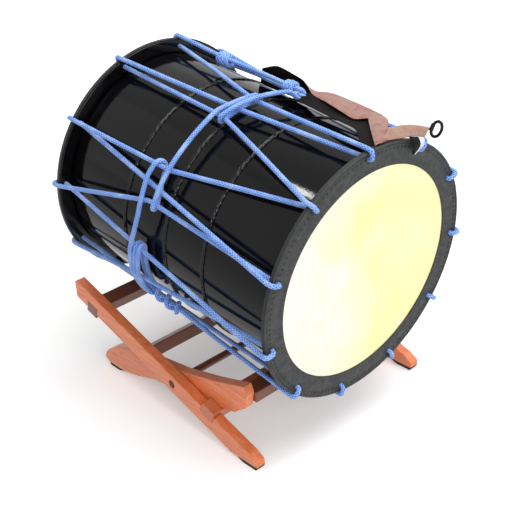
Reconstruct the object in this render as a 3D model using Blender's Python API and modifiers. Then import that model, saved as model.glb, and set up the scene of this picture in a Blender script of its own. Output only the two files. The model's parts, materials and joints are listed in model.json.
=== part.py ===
"""Okedo drum on a folding wooden stand.

A long rope-laced barrel drum lies on a low stand that folds like scissors. The drum is modelled in its
own frame, with Y along its axis, and is then tipped so that its rear is the higher end. The stand is
modelled on the floor, X across it and Y from front to rear. Every outline of the stand is in (y, z).
"""
from math import atan, cos, pi, radians, sin, sqrt

import bmesh
import bpy
from mathutils import Vector

# Clearances
GAP = 0.0003
MERGE = 0.0001

# Drum: shell and hoops
DRUM_TILT = radians(6.447)
DRUM_HEIGHT = 0.368
DRUM_LENGTH = 0.5707
SHELL_RADIUS = 0.2130
SHELL_TURN_IN = 0.0065
SHELL_END_RADIUS = SHELL_RADIUS - SHELL_TURN_IN
SHELL_SHOULDER = 0.020
SHELL_WALL = 0.011
SHELL_BULGE = 0.0012
HOOP_RISE = 0.0026
HOOP_WIDTH = 0.011
HOOP_STATIONS = (-0.104, -0.004, 0.108)

# Drum: heads, bands and iron rings
FLANGE_REACH = 0.0275
FLANGE_RADIUS = SHELL_RADIUS + FLANGE_REACH
FLANGE_DEPTH = 0.0100
BAND_WIDTH = 0.0421
BAND_INNER_RADIUS = FLANGE_RADIUS - BAND_WIDTH
BAND_THICKNESS = 0.0019
BAND_SIDE = 0.0080
SKIN_THICKNESS = 0.0012
SKIN_LAP = 0.0255
SKIN_LAP_RADIUS = FLANGE_RADIUS - SKIN_LAP
IRON_ROD = 0.0048

# Drum: ropes
ROPE = 0.0080
LOOPS = 11
FRONT_LOOP_ANGLE = radians(-5.0)
REAR_LOOP_ANGLE = radians(-21.4)
LOOP_PITCH = 2 * pi / LOOPS
REAR_LOOP_SHIFTS = {0: radians(1.8), 2: radians(1.8), 10: radians(3.0)}
LOOP_HOLE_INSET = 0.0140
LOOP_HOLE_RADIUS = FLANGE_RADIUS - LOOP_HOLE_INSET
LOOP_HOLE = 0.0096
LOOP_BEND = 0.0055
LOOP_RUN = 0.0090
PRESSED_STATIONS = (0.250, 0.215, 0.130, 0.0, -0.135, -0.168, -0.206, -0.240)
FREE_STATIONS = (0.140, 0.030, -0.110)
LOW_STRAND = 0.8
RAIL_MARGIN = 0.013

# Where, and how far, the tension rope draws a strand aside. FRONT strands join the front and rear
# loops of the same number, REAR strands go from a rear loop to the next front loop.
PULLED = {
    ("front", 0): (-0.010, radians(-1.8)),
    ("front", 1): (0.012, radians(-6.0)),
    ("front", 2): (0.030, radians(10.6)),
    ("front", 3): (0.070, radians(3.0)),
    ("front", 10): (-0.040, radians(-3.9)),
    ("rear", 0): (-0.008, radians(8.2)),
    ("rear", 3): (0.060, radians(7.6)),
    ("rear", 10): (-0.016, radians(-8.6))}

# Drum: the tension rope, over and under the strands round the middle
STRAND_INSET = 0.0069
STRAND_RADIUS = FLANGE_RADIUS - STRAND_INSET
CROSSING_REACH = 0.0112
OVER_RADIUS = STRAND_RADIUS + CROSSING_REACH
UNDER_RADIUS = STRAND_RADIUS - CROSSING_REACH
TURN_REACH = 0.0104
ROUTE_STEP = 0.012

# Strap and its hook, on the front loop at the far side
STRAP_ANGLE = radians(27.7)
STRAP_RADIUS = FLANGE_RADIUS + ROPE
STRAP_THICKNESS = 0.0026
STRAP_WIDTH = 0.045
STRAP_REAR = 0.095
STRAP_FOLD = -0.200
STRAP_FLAP_REAR = (-0.205, radians(8.0))
STRAP_FLAP_FRONT = (-0.281, radians(-1.0))
STRAP_FLAP_RISE = 0.0020
TAB_WIDTH = 0.018
KEEPER_RISE = 0.0275
KEEPER_STATION = -0.2918
KEEPER_RADIUS = FLANGE_RADIUS + KEEPER_RISE
KEEPER_LENGTH = 0.0120
KEEPER_WALL = 0.0016
HOOK_WIRE = 0.0036
HOOK_WIDTH = 0.018
HOOK_HEIGHT = 0.029
CLIP_LENGTH = 0.033
CLIP_TOP = 0.0110
CLIP_TIP = 0.0060
CLIP_THICKNESS = 0.0024

# Stand: outer frame with the long legs
STAND_HALF_WIDTH = 0.220
LONG_LEG_THICKNESS = 0.021
LONG_LEG_DEPTH = 0.038
LONG_LEG_SLOPE = atan(0.33)
LONG_LEG_TOP_FRONT = (-0.197, 0.0290)
LONG_LEG_REAR = 0.307
PAD_THICKNESS = 0.0055
FOOT_FRONT = -0.2155
STOP_RAIL_PLACE = -0.087
STOP_RAIL_SECTION = (0.034, 0.023)
STOP_RAIL_RISE = 0.009
REAR_RAIL_PLACE = 0.2588
REAR_RAIL_SECTION = (0.031, 0.025)
REAR_RAIL_LET_IN = 0.0155

# Stand: inner frame with the short bent legs
LEG_CLEARANCE = 0.0015
INNER_LEG_THICKNESS = 0.0205
REAR_SOLE = (0.206, 0.256)
DRUM_RAIL_FRONT = -0.177
DRUM_RAIL_SECTION = (0.031, 0.022)
DRUM_RAIL_DROP = 0.0036
BRACE_PLACE = (0.176, 0.0430)
BRACE_SECTION = (0.018, 0.026)
BRACE_SLOPE = radians(-16)

# Stand: pivot
PIVOT = (0.0138, 0.0787)
DOWEL = 0.015
DOWEL_BORE_DEPTH = 0.0125
BOLT = 0.008
BOLT_HEAD = 0.016
BOLT_HEAD_HEIGHT = 0.0050
COUNTERBORE = 0.0175
COUNTERBORE_DEPTH = 0.006
WASHER = 0.022
EDGE_SOFTENING = 0.0012

TURN_STEPS = 44
SMALL_STEPS = 12

PARTS = "okedo_drum"
CUTTERS = "cutters"


def clear_scene():
    """Empty the scene of objects and of collections made here before."""
    for obj in list(bpy.data.objects):
        bpy.data.objects.remove(obj, do_unlink=True)
    for name in (PARTS, CUTTERS):
        if name in bpy.data.collections:
            bpy.data.collections.remove(bpy.data.collections[name])


def new_collection(name):
    collection = bpy.data.collections.new(name)
    bpy.context.scene.collection.children.link(collection)
    return collection


def new_material(name, colour, roughness, metallic=0.0):
    """A Principled material. The colour is linear RGB."""
    material = bpy.data.materials.new(name)
    material.use_nodes = True
    shader = material.node_tree.nodes["Principled BSDF"]
    shader.inputs["Base Color"].default_value = (*colour, 1.0)
    shader.inputs["Roughness"].default_value = roughness
    shader.inputs["Metallic"].default_value = metallic
    material.diffuse_color = (*colour, 1.0)
    return material


def new_empty(name, location, parent=None, rotation=(0, 0, 0)):
    """A guide that carries other objects, such as a joint's axis."""
    empty = bpy.data.objects.new(name, None)
    empty.location = location
    empty.rotation_euler = rotation
    empty.parent = parent
    bpy.data.collections[PARTS].objects.link(empty)
    return empty


def add_object(name, data, parent, material, location=(0, 0, 0), rotation=(0, 0, 0)):
    obj = bpy.data.objects.new(name, data)
    obj.location = location
    obj.rotation_euler = rotation
    obj.parent = parent
    if material:
        data.materials.append(material)
        bpy.data.collections[PARTS].objects.link(obj)
    else:
        bpy.data.collections[CUTTERS].objects.link(obj)
        obj.hide_render = True
        obj.display_type = "WIRE"
    return obj


def shade(obj):
    obj.data.shade_smooth()
    obj.data.set_sharp_from_angle(angle=radians(35))


def turned(name, outline, parent, material, location=(0, 0, 0), rotation=(0, 0, 0), steps=TURN_STEPS):
    """A closed outline of (radius, height) points, turned about Z. Its outer side runs downwards."""
    mesh = bpy.data.meshes.new(name)
    count = len(outline)
    edges = [(i, (i + 1) % count) for i in range(count)]
    mesh.from_pydata([(radius, 0, height) for radius, height in outline], edges, [])
    obj = add_object(name, mesh, parent, material, location, rotation)
    screw = obj.modifiers.new("Turn", "SCREW")
    screw.steps = steps
    screw.render_steps = steps
    screw.use_merge_vertices = True
    screw.merge_threshold = MERGE
    return obj


def turned_core(name, outline, parent, material, location=(0, 0, 0), rotation=(0, 0, 0), steps=TURN_STEPS):
    """An outline that starts and ends on the axis, turned about Z, for a piece with no hole through it."""
    obj = turned(name, outline, parent, material, location, rotation, steps)
    mesh = bmesh.new()
    mesh.from_mesh(obj.data)
    mesh.edges.ensure_lookup_table()
    mesh.edges.remove(mesh.edges[len(outline) - 1])
    mesh.to_mesh(obj.data)
    mesh.free()
    return obj


def curve_object(name, splines, parent, material, cyclic, dimensions, location, rotation):
    curve = bpy.data.curves.new(name, "CURVE")
    curve.dimensions = dimensions
    for points in splines:
        spline = curve.splines.new("POLY")
        spline.points.add(len(points) - 1)
        for target, point in zip(spline.points, points):
            target.co = (*point, 0.0, 1.0) if len(point) == 2 else (*point, 1.0)
        spline.use_cyclic_u = cyclic
    return add_object(name, curve, parent, material, location, rotation)


def cord(name, points, diameter, parent, material, cyclic=False):
    """A round rope or wire through the points."""
    obj = curve_object(name, [points], parent, material, cyclic, "3D", (0, 0, 0), (0, 0, 0))
    obj.data.bevel_depth = diameter / 2
    obj.data.bevel_resolution = 2
    obj.data.use_fill_caps = not cyclic
    return obj


def as_mesh(obj):
    """Replace a curve object by its mesh, with the caps welded on."""
    bpy.context.view_layer.update()
    evaluated = obj.evaluated_get(bpy.context.evaluated_depsgraph_get())
    mesh = bpy.data.meshes.new_from_object(evaluated)
    welded = bmesh.new()
    welded.from_mesh(mesh)
    bmesh.ops.remove_doubles(welded, verts=welded.verts, dist=MERGE / 10)
    welded.to_mesh(mesh)
    welded.free()
    name = obj.name
    parent = obj.parent
    location = obj.location.copy()
    rotation = obj.rotation_euler.copy()
    collections = list(obj.users_collection)
    bpy.data.objects.remove(obj)
    result = bpy.data.objects.new(name, mesh)
    result.parent = parent
    result.location = location
    result.rotation_euler = rotation
    for collection in collections:
        collection.objects.link(result)
    return result


def plank(name, outline, thickness, middle, parent, material):
    """A board cut to an outline of (y, z) points, its thickness along X and its middle at x = middle."""
    turn = (pi / 2, 0, pi / 2)
    obj = curve_object(name, [outline], parent, material, True, "2D", (middle, 0, 0), turn)
    obj.data.fill_mode = "BOTH"
    obj.data.extrude = thickness / 2
    return as_mesh(obj)


def soften(obj, width=EDGE_SOFTENING, segments=1):
    bevel = obj.modifiers.new("Soft edges", "BEVEL")
    bevel.width = width
    bevel.segments = segments
    bevel.limit_method = "ANGLE"
    bevel.angle_limit = radians(25)


def cut(obj, cutter):
    boolean = obj.modifiers.new("Cut " + cutter.name, "BOOLEAN")
    boolean.operation = "DIFFERENCE"
    boolean.object = cutter


def shell_radius(station):
    """The shell's outer radius at a station along its axis: a slight bulge with a rounded shoulder."""
    half = shell_half_length()
    bulge = SHELL_BULGE * (1 - (station / half) ** 2)
    into = min(1.0, (half - abs(station)) / SHELL_SHOULDER)
    rise = SHELL_RADIUS - SHELL_END_RADIUS
    return SHELL_END_RADIUS + rise * sqrt(max(0.0, 1 - (1 - into) ** 2)) + bulge


def shell_half_length():
    return DRUM_LENGTH / 2 - BAND_THICKNESS - SKIN_THICKNESS - 2 * GAP


def toward(end):
    """The rotation that lays Z along the drum's axis, pointing at the rear (1) or the front (-1)."""
    return (-end * pi / 2, 0, 0)


def make_shell(drum, lacquer):
    half = shell_half_length()
    stations = [0, 0.15, half - SHELL_SHOULDER, half - 0.009, half - 0.003]
    stations = [-s for s in stations[:0:-1]] + stations
    outer = [(shell_radius(s), s) for s in reversed(stations)]
    outer = [(SHELL_END_RADIUS - 0.001, half)] + outer + [(SHELL_END_RADIUS - 0.001, -half)]
    inner_radius = SHELL_RADIUS - SHELL_WALL
    inner_end = SHELL_END_RADIUS - 0.006
    inner = [(inner_end, -half), (inner_radius, -half + 0.03), (inner_radius, half - 0.03), (inner_end, half)]
    shade(turned("body_shell", outer + inner, drum, lacquer, rotation=toward(1)))


def make_hoops(drum, lacquer):
    for place, station in zip(("front", "middle", "rear"), HOOP_STATIONS):
        bore = SHELL_RADIUS + SHELL_BULGE + GAP
        edge = bore + HOOP_RISE * 0.45
        crown = bore + HOOP_RISE
        half = HOOP_WIDTH / 2
        outline = [(bore, half), (edge, half), (crown, 0), (edge, -half), (bore, -half)]
        hoop = turned("hoop_" + place, outline, drum, lacquer, (0, station, 0), toward(1))
        shade(hoop)


def loop_hole_cutter(end, angle, number, drum):
    """A round bar through the flange where a lacing loop passes."""
    mesh = bpy.data.meshes.new("loop_hole")
    bar = bmesh.new()
    bmesh.ops.create_cone(
        bar, cap_ends=True, segments=8, radius1=LOOP_HOLE / 2, radius2=LOOP_HOLE / 2,
        depth=4 * FLANGE_DEPTH)
    bar.to_mesh(mesh)
    bar.free()
    station = end * (DRUM_LENGTH / 2 - FLANGE_DEPTH / 2)
    place = (LOOP_HOLE_RADIUS * sin(angle), station, LOOP_HOLE_RADIUS * cos(angle))
    return add_object(f"loop_hole_{number}", mesh, drum, None, place, toward(end))


def make_hole_cutters(end, drum, label):
    """All the loop holes of one flange as one cutter."""
    holes = [loop_hole_cutter(end, loop_angle(end, k), f"{label}_{k}", drum) for k in range(LOOPS)]
    bpy.context.view_layer.update()
    joined = bmesh.new()
    back = drum.matrix_world.inverted()
    for hole in holes:
        piece = hole.data.copy()
        piece.transform(back @ hole.matrix_world)
        joined.from_mesh(piece)
        bpy.data.objects.remove(hole)
    mesh = bpy.data.meshes.new("loop_holes_" + label)
    joined.to_mesh(mesh)
    joined.free()
    return add_object("loop_holes_" + label, mesh, drum, None)


def make_head(end, label, drum, skin, leather, iron):
    """One head: the skin wrapped round its iron ring, and the leather band over its flange."""
    face = DRUM_LENGTH / 2
    skin_face = face - BAND_THICKNESS - GAP
    skin_back = face - FLANGE_DEPTH
    skin_rim = FLANGE_RADIUS - BAND_THICKNESS - GAP
    wall = SKIN_THICKNESS
    outline = [
        (0, skin_face), (BAND_INNER_RADIUS, skin_face), (skin_rim, skin_face), (skin_rim, skin_back),
        (SKIN_LAP_RADIUS, skin_back), (SKIN_LAP_RADIUS, skin_back + wall), (skin_rim - wall, skin_back + wall),
        (skin_rim - wall, skin_face - wall), (SKIN_LAP_RADIUS, skin_face - wall), (0, skin_face - wall)]
    head = turned_core("head_" + label, outline, drum, skin, rotation=toward(end))
    holes = make_hole_cutters(end, drum, label)
    cut(head, holes)
    back = face - BAND_SIDE
    inside = FLANGE_RADIUS - BAND_THICKNESS
    outline = [
        (BAND_INNER_RADIUS, face), (FLANGE_RADIUS - 0.001, face), (FLANGE_RADIUS, face - 0.001),
        (FLANGE_RADIUS, back), (inside, back), (inside, face - BAND_THICKNESS),
        (BAND_INNER_RADIUS, face - BAND_THICKNESS)]
    band = turned("band_" + label, outline, drum, leather, rotation=toward(end))
    shade(band)
    cut(band, holes)
    rod = IRON_ROD / 2
    middle = (skin_rim - wall - GAP - rod, (skin_face + skin_back) / 2)
    sides = 6
    outline = [
        (middle[0] + rod * cos(-2 * pi * i / sides), middle[1] + rod * sin(-2 * pi * i / sides))
        for i in range(sides)]
    shade(turned("head_ring_" + label, outline, drum, iron, rotation=toward(end)))


def on_drum(radius, angle, station):
    """A point of the drum's frame. The angle is 0 at the top and grows towards +X."""
    return Vector((radius * sin(angle), station, radius * cos(angle)))


def in_drum_frame(y, z):
    """The station and the depth below the drum's axis of a point of the stand."""
    low = z - DRUM_HEIGHT
    return y * cos(DRUM_TILT) + low * sin(DRUM_TILT), y * sin(DRUM_TILT) - low * cos(DRUM_TILT)


def drum_rail_depth():
    """How far below the drum's axis the drum rail's top lies."""
    return SHELL_RADIUS + SHELL_BULGE + DRUM_RAIL_DROP


def over_drum_rail(station):
    """Whether the drum rail lies under this station."""
    front = in_drum_frame(DRUM_RAIL_FRONT, under_drum(DRUM_RAIL_FRONT, drum_rail_depth()))[0]
    return front - RAIL_MARGIN < station < front + DRUM_RAIL_SECTION[0] + RAIL_MARGIN


def rail_depth(station):
    """How far below the drum's axis the rope may reach where it lies over a rail of the stand."""
    near, near_depth = in_drum_frame(*rear_rail_corners()[1])
    far, far_depth = in_drum_frame(*rear_rail_corners()[2])
    if station > near - 2 * RAIL_MARGIN:
        return far_depth + (far - station) * (near_depth - far_depth) / (far - near)
    if over_drum_rail(station):
        return drum_rail_depth()
    return FLANGE_RADIUS + ROPE


def strand_radius(plain, angle, station):
    """A strand's radius: straight between its loops, but pressed in by a rail under the drum."""
    rope = ROPE / 2 + GAP
    low = -cos(angle)
    radius = plain
    if low > LOW_STRAND:
        radius = min(plain, (rail_depth(station) - rope) / low)
    return max(radius, shell_radius(station) + rope)


def loop_points(end, angle):
    """The rope over one flange: up its outer side, across its face and down through the hole."""
    face = DRUM_LENGTH / 2
    side = FLANGE_RADIUS + ROPE / 2 + GAP
    first = side - LOOP_BEND
    second = LOOP_HOLE_RADIUS + LOOP_BEND
    path = [(side, face - LOOP_RUN)]
    path += [(first + LOOP_BEND * cos(t), face + LOOP_BEND * sin(t)) for t in (0, pi / 4, pi / 2)]
    path += [(second - LOOP_BEND * sin(t), face + LOOP_BEND * cos(t)) for t in (0, pi / 4, pi / 2)]
    path += [(LOOP_HOLE_RADIUS, face - FLANGE_DEPTH - ROPE / 2)]
    return [on_drum(radius, angle, end * height) for radius, height in path]


def loop_angle(end, number):
    """The angle of a loop of the front (-1) or the rear (1) head."""
    if end < 0:
        return FRONT_LOOP_ANGLE - number * LOOP_PITCH
    return REAR_LOOP_ANGLE - number * LOOP_PITCH + REAR_LOOP_SHIFTS.get(number, 0.0)


def strand_angle(kind, number, station):
    """A strand's angle at a station, with the place where the tension rope draws it aside."""
    rear = loop_angle(1, number)
    front = loop_angle(-1, number if kind == "front" else number + 1)
    reach = DRUM_LENGTH / 2 - FLANGE_DEPTH
    angle = front + (rear - front) * (station + reach) / (2 * reach)
    if (kind, number) in PULLED:
        place, pull = PULLED[(kind, number)]
        run = reach - place if station > place else reach + place
        angle += pull * max(0.0, 1 - abs(station - place) / run)
    aside = angle + pi
    if over_drum_rail(station) and 0 < aside < radians(16):
        return radians(12.6) - pi + (aside - radians(7.8)) * 0.42
    return angle


def strand_ends(kind, number):
    """Where a strand leaves one loop's hole and where it meets the next loop's outer side."""
    if kind == "front":
        return loop_points(-1, loop_angle(-1, number))[-1], loop_points(1, loop_angle(1, number))[0]
    return loop_points(1, loop_angle(1, number))[-1], loop_points(-1, loop_angle(-1, number + 1))[0]


def strand_at(kind, number, station):
    """A strand's angle and radius at a station."""
    start, finish = strand_ends(kind, number)
    straight = start.lerp(finish, (station - start.y) / (finish.y - start.y))
    angle = strand_angle(kind, number, station)
    return angle, strand_radius(sqrt(straight.x ** 2 + straight.z ** 2), angle, station)


def strand_points(kind, number):
    """The rope between two loops, as stations along the drum."""
    low = -cos(loop_angle(1, number)) > LOW_STRAND - 0.1
    stations = set(PRESSED_STATIONS if low else FREE_STATIONS)
    if (kind, number) in PULLED:
        stations = {PULLED[(kind, number)][0], *FREE_STATIONS[::2]}
    points = []
    for station in sorted(stations, reverse=kind == "rear"):
        angle, radius = strand_at(kind, number, station)
        points.append(on_drum(radius, angle, station))
    return points


def make_lacing(drum, rope):
    """One rope in a zigzag: every front loop is laced to the two rear loops beside it."""
    points = []
    for number in range(LOOPS):
        points += loop_points(-1, loop_angle(-1, number)) + strand_points("front", number)
        points += loop_points(1, loop_angle(1, number)) + strand_points("rear", number)
    cord("lacing_rope", points, ROPE, drum, rope, cyclic=True)


def round_strand(kind, number, station, advance, start, halves=1):
    """Half turns round a strand as (station, angle, radius). They start over it (0) or under it (pi)."""
    steps = 5 * abs(halves)
    points = []
    for i in range(steps + 1):
        place = station + advance * i / steps
        turn = start + halves * pi * i / steps
        angle, radius = strand_at(kind, number, place)
        angle = (angle + pi) % (2 * pi) - pi
        points.append((place, angle - TURN_REACH / radius * sin(turn), radius + TURN_REACH * cos(turn)))
    return points


def tension_route():
    """The tension rope's (station, angle, radius) points, from its rear knot to its free end."""
    over, under, between = OVER_RADIUS, UNDER_RADIUS, STRAND_RADIUS

    def leg(radius, *places):
        return [(station, radians(angle), radius) for station, angle in places]

    route = leg(over, (0.142, 12.6), (0.046, 14.4), (-0.026, 14.6))
    route += round_strand("front", 10, -0.036, -0.010, 0, -1)
    route += leg(between, (-0.050, 12.5))
    route += leg(over, (-0.048, 8.5), (-0.041, 3.0), (-0.030, -5.4), (-0.022, -14.0))
    route += round_strand("rear", 0, -0.014, 0.008, 0)
    route += leg(under, (-0.005, -14.0)) + round_strand("rear", 10, -0.006, -0.012, pi)
    route += leg(over, (-0.010, -14.0), (0.000, -21.0), (-0.001, -30.0))
    route += leg(over, (0.000, -40.0), (0.004, -52.0), (0.006, -60.0))
    route += round_strand("front", 2, 0.008, 0.010, 0)
    route += leg(under, (0.024, -62.0)) + round_strand("front", 1, 0.030, 0.010, pi)
    route += leg(over, (0.043, -58.0), (0.040, -66.0), (0.038, -75.0))
    route += leg(over, (0.043, -83.0), (0.056, -93.0), (0.063, -105.0))
    for station in (0.0690, 0.0600):
        route += round_strand("rear", 3, station, -0.0045, 0)
        route += leg(under, (station - 0.0110, -105.0))
        route += round_strand("rear", 2, station - 0.0180, -0.0045, pi)
        route += leg(over, (station - 0.0150, -105.0))
    return route + round_strand("rear", 3, 0.0510, -0.075, 0, 6)


def make_tension_rope(drum, rope):
    """The rope that draws the strands of the near side together."""
    route = tension_route()
    points = [on_drum(route[0][2], route[0][1], route[0][0])]
    for near, far in zip(route, route[1:]):
        length = sqrt((far[0] - near[0]) ** 2 + (STRAND_RADIUS * (far[1] - near[1])) ** 2)
        steps = max(1, round(length / ROUTE_STEP))
        for i in range(1, steps + 1):
            station, angle, radius = (a + (b - a) * i / steps for a, b in zip(near, far))
            points.append(on_drum(radius, angle, station))
    cord("tension_rope", points, ROPE, drum, rope)


def make_strap(drum, webbing):
    """The strap laid along the drum, and its front end folded down beside the tab. It is bent to the drum."""
    half = STRAP_WIDTH / 2 / STRAP_RADIUS
    front = STRAP_FOLD - STRAP_WIDTH
    cage = bmesh.new()
    band = []
    for row in (STRAP_REAR, 0.02, -0.06, -0.13, STRAP_FOLD, front):
        angles = (STRAP_ANGLE - half, STRAP_ANGLE, STRAP_ANGLE + half)
        band.append([cage.verts.new(on_drum(STRAP_RADIUS, angle, row)) for angle in angles])
    for near, far in zip(band, band[1:]):
        for j in range(2):
            cage.faces.new((near[j], far[j], far[j + 1], near[j + 1]))
    edge = (band[-2][0], band[-1][0])
    left = STRAP_ANGLE - half
    columns = 4
    for i in range(1, columns + 1):
        share = i / columns
        radius = STRAP_RADIUS + STRAP_FLAP_RISE * share
        following = []
        for fold, corner in ((STRAP_FOLD, STRAP_FLAP_REAR), (front, STRAP_FLAP_FRONT)):
            angle = left + share * (corner[1] - left)
            following.append(cage.verts.new(on_drum(radius, angle, fold + share * (corner[0] - fold))))
        cage.faces.new((following[0], following[1], edge[1], edge[0]))
        edge = following
    mesh = bpy.data.meshes.new("strap")
    cage.to_mesh(mesh)
    cage.free()
    strap = add_object("strap", mesh, drum, webbing)
    solid = strap.modifiers.new("Cloth", "SOLIDIFY")
    solid.thickness = STRAP_THICKNESS
    solid.offset = 1
    solid.use_even_offset = True


def make_tab(seat, suede):
    """The narrow sewn end of the strap, rising over the flange to the keeper."""
    start = STRAP_FOLD - STRAP_WIDTH - 4 * GAP
    end = KEEPER_STATION + HOOK_WIRE / 2 + KEEPER_WALL + 2 * GAP
    rise = [(start, STRAP_RADIUS), ((start + end) / 2, STRAP_RADIUS + 0.004), (end, KEEPER_RADIUS - 0.0013)]
    cage = bmesh.new()
    half = TAB_WIDTH / 2
    pairs = [[cage.verts.new((x, station, radius)) for x in (-half, half)] for station, radius in rise]
    for near, far in zip(pairs, pairs[1:]):
        cage.faces.new((near[0], far[0], far[1], near[1]))
    mesh = bpy.data.meshes.new("strap_tab")
    cage.to_mesh(mesh)
    cage.free()
    tab = add_object("strap_tab", mesh, seat, suede)
    solid = tab.modifiers.new("Leather", "SOLIDIFY")
    solid.thickness = STRAP_THICKNESS
    solid.offset = 1


def make_keeper(seat, metal):
    """The sleeve at the tab's end in which the hook turns."""
    bore = HOOK_WIRE / 2 + GAP
    outer = bore + KEEPER_WALL
    half = KEEPER_LENGTH / 2
    outline = [(bore, half), (outer, half), (outer, -half), (bore, -half)]
    place = (0, KEEPER_STATION, KEEPER_RADIUS)
    shade(turned("hook_keeper", outline, seat, metal, place, steps=SMALL_STEPS))


def make_hook(pivot, metal):
    """The oval wire hook. One long side of it runs through the keeper, on its joint's axis."""
    corner = HOOK_WIDTH / 2
    straight = HOOK_HEIGHT / 2 - corner
    bends = 6
    points = []
    for way in (1, -1):
        for t in range(bends + 1):
            turn = t * pi / bends
            points.append((0, -corner + way * corner * cos(turn), way * (straight + corner * sin(turn))))
    cord("hook_ring", points, HOOK_WIRE, pivot, metal, cyclic=True)


def make_clip(seat, metal):
    """The tapered black clip that hangs from the keeper in front of the flange."""
    top = KEEPER_RADIUS - HOOK_HEIGHT / 2 - HOOK_WIRE / 2 - GAP
    outline = [
        (-CLIP_TOP / 2, top), (-CLIP_TIP / 2, top - CLIP_LENGTH), (CLIP_TIP / 2, top - CLIP_LENGTH), (CLIP_TOP / 2, top)]
    station = -(DRUM_LENGTH / 2 + LOOP_BEND + ROPE / 2 + GAP + CLIP_THICKNESS / 2)
    obj = curve_object("strap_clip", [outline], seat, metal, True, "2D", (0, station, 0), (pi / 2, 0, 0))
    obj.data.fill_mode = "BOTH"
    obj.data.extrude = CLIP_THICKNESS / 2
    as_mesh(obj)


def leg_top(y):
    """Height of the long legs' upper side."""
    front_y, front_z = LONG_LEG_TOP_FRONT
    return front_z + (y - front_y) * sin(LONG_LEG_SLOPE) / cos(LONG_LEG_SLOPE)


def leg_under(y):
    """Height of the long legs' lower side."""
    return leg_top(y) - LONG_LEG_DEPTH / cos(LONG_LEG_SLOPE)


ALONG = (cos(LONG_LEG_SLOPE), sin(LONG_LEG_SLOPE))
ACROSS = (-sin(LONG_LEG_SLOPE), cos(LONG_LEG_SLOPE))


def off(point, along, across):
    """A point moved along and across the long legs."""
    return (point[0] + along * ALONG[0] + across * ACROSS[0], point[1] + along * ALONG[1] + across * ACROSS[1])


def stop_rail_corners(extra=0.0):
    """Corners of the stop rail's section, from the front bottom, the front top, the rear top, the rear bottom."""
    base = (STOP_RAIL_PLACE, leg_top(STOP_RAIL_PLACE))
    half = STOP_RAIL_SECTION[0] / 2 + extra
    top = STOP_RAIL_RISE + extra
    bottom = STOP_RAIL_RISE - STOP_RAIL_SECTION[1] - extra
    return [off(base, -half, bottom), off(base, -half, top), off(base, half, top), off(base, half, bottom)]


def rear_rail_corners(extra=0.0):
    """Corners of the rear rail's section, in the same order."""
    base = (REAR_RAIL_PLACE, leg_under(REAR_RAIL_PLACE))
    half = REAR_RAIL_SECTION[0] / 2 + extra
    top = REAR_RAIL_LET_IN + extra
    bottom = REAR_RAIL_LET_IN - REAR_RAIL_SECTION[1] - extra
    return [off(base, -half, bottom), off(base, -half, top), off(base, half, top), off(base, half, bottom)]


def long_leg_outline():
    sole = PAD_THICKNESS + GAP
    sole_end = LONG_LEG_TOP_FRONT[0] + (sole + leg_top(0) - leg_under(0) - LONG_LEG_TOP_FRONT[1]) / ALONG[1] * ALONG[0]
    stop = stop_rail_corners(GAP)
    rear = rear_rail_corners(GAP)
    stop_base = (STOP_RAIL_PLACE, leg_top(STOP_RAIL_PLACE))
    rear_base = (REAR_RAIL_PLACE, leg_under(REAR_RAIL_PLACE))
    stop_half = STOP_RAIL_SECTION[0] / 2 + GAP
    rear_half = REAR_RAIL_SECTION[0] / 2 + GAP
    chamfer = 0.006
    return [
        (FOOT_FRONT, sole), (sole_end, sole),
        off(rear_base, -rear_half, 0), rear[1], rear[2], off(rear_base, rear_half, 0),
        (LONG_LEG_REAR, leg_under(LONG_LEG_REAR)), (LONG_LEG_REAR, leg_top(LONG_LEG_REAR) - chamfer),
        (LONG_LEG_REAR - chamfer, leg_top(LONG_LEG_REAR - chamfer)),
        off(stop_base, stop_half, 0), stop[3], stop[0], off(stop_base, -stop_half, 0),
        LONG_LEG_TOP_FRONT, (FOOT_FRONT, 0.018)]


def crossing(first, second, third, fourth):
    """Where the line through the first two points meets the line through the last two."""
    ax, ay = first
    bx, by = second[0] - ax, second[1] - ay
    cx, cy = third
    dx, dy = fourth[0] - cx, fourth[1] - cy
    share = ((cx - ax) * dy - (cy - ay) * dx) / (bx * dy - by * dx)
    return (ax + share * bx, ay + share * by)


def inner_leg_outline():
    """The bent short leg, with the bite in its lower side that seats on the stop rail."""
    sole = PAD_THICKNESS + GAP
    seat = stop_rail_corners(GAP)
    knee = (-0.137, 0.078)
    middle = (0.058, 0.040)
    bite = [crossing(knee, middle, seat[1], seat[2]), seat[2], crossing(knee, middle, seat[2], seat[3])]
    return [
        (REAR_SOLE[1], sole), (0.266, 0.011), (0.270, 0.016), (0.264, 0.029), (0.252, 0.040), (0.241, 0.048),
        (0.224, 0.058), (0.183, 0.071), (0.003, 0.099), (-0.088, 0.123), (-0.168, 0.148), (-0.174, 0.132),
        (-0.168, 0.101), knee, *bite, middle, (0.099, 0.036), (0.157, 0.0165), (REAR_SOLE[0], sole)]


def bolt_hole_cutter(name, parent, x, side):
    """The counterbored hole through a long leg, drilled from its outer face."""
    bore = BOLT / 2 + GAP
    wide = COUNTERBORE / 2
    reach = LONG_LEG_THICKNESS
    outline = [
        (0, reach), (wide, reach), (wide, LONG_LEG_THICKNESS / 2 - COUNTERBORE_DEPTH),
        (bore, LONG_LEG_THICKNESS / 2 - COUNTERBORE_DEPTH), (bore, -reach), (0, -reach)]
    place = (x, *PIVOT)
    return turned_core(name, outline, parent, None, place, (0, side * pi / 2, 0), SMALL_STEPS)


def through_hole_cutter(name, parent, x):
    bore = BOLT / 2 + GAP
    reach = INNER_LEG_THICKNESS
    outline = [(0, reach), (bore, reach), (bore, -reach), (0, -reach)]
    return turned_core(name, outline, parent, None, (x, *PIVOT), (0, pi / 2, 0), SMALL_STEPS)


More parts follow.
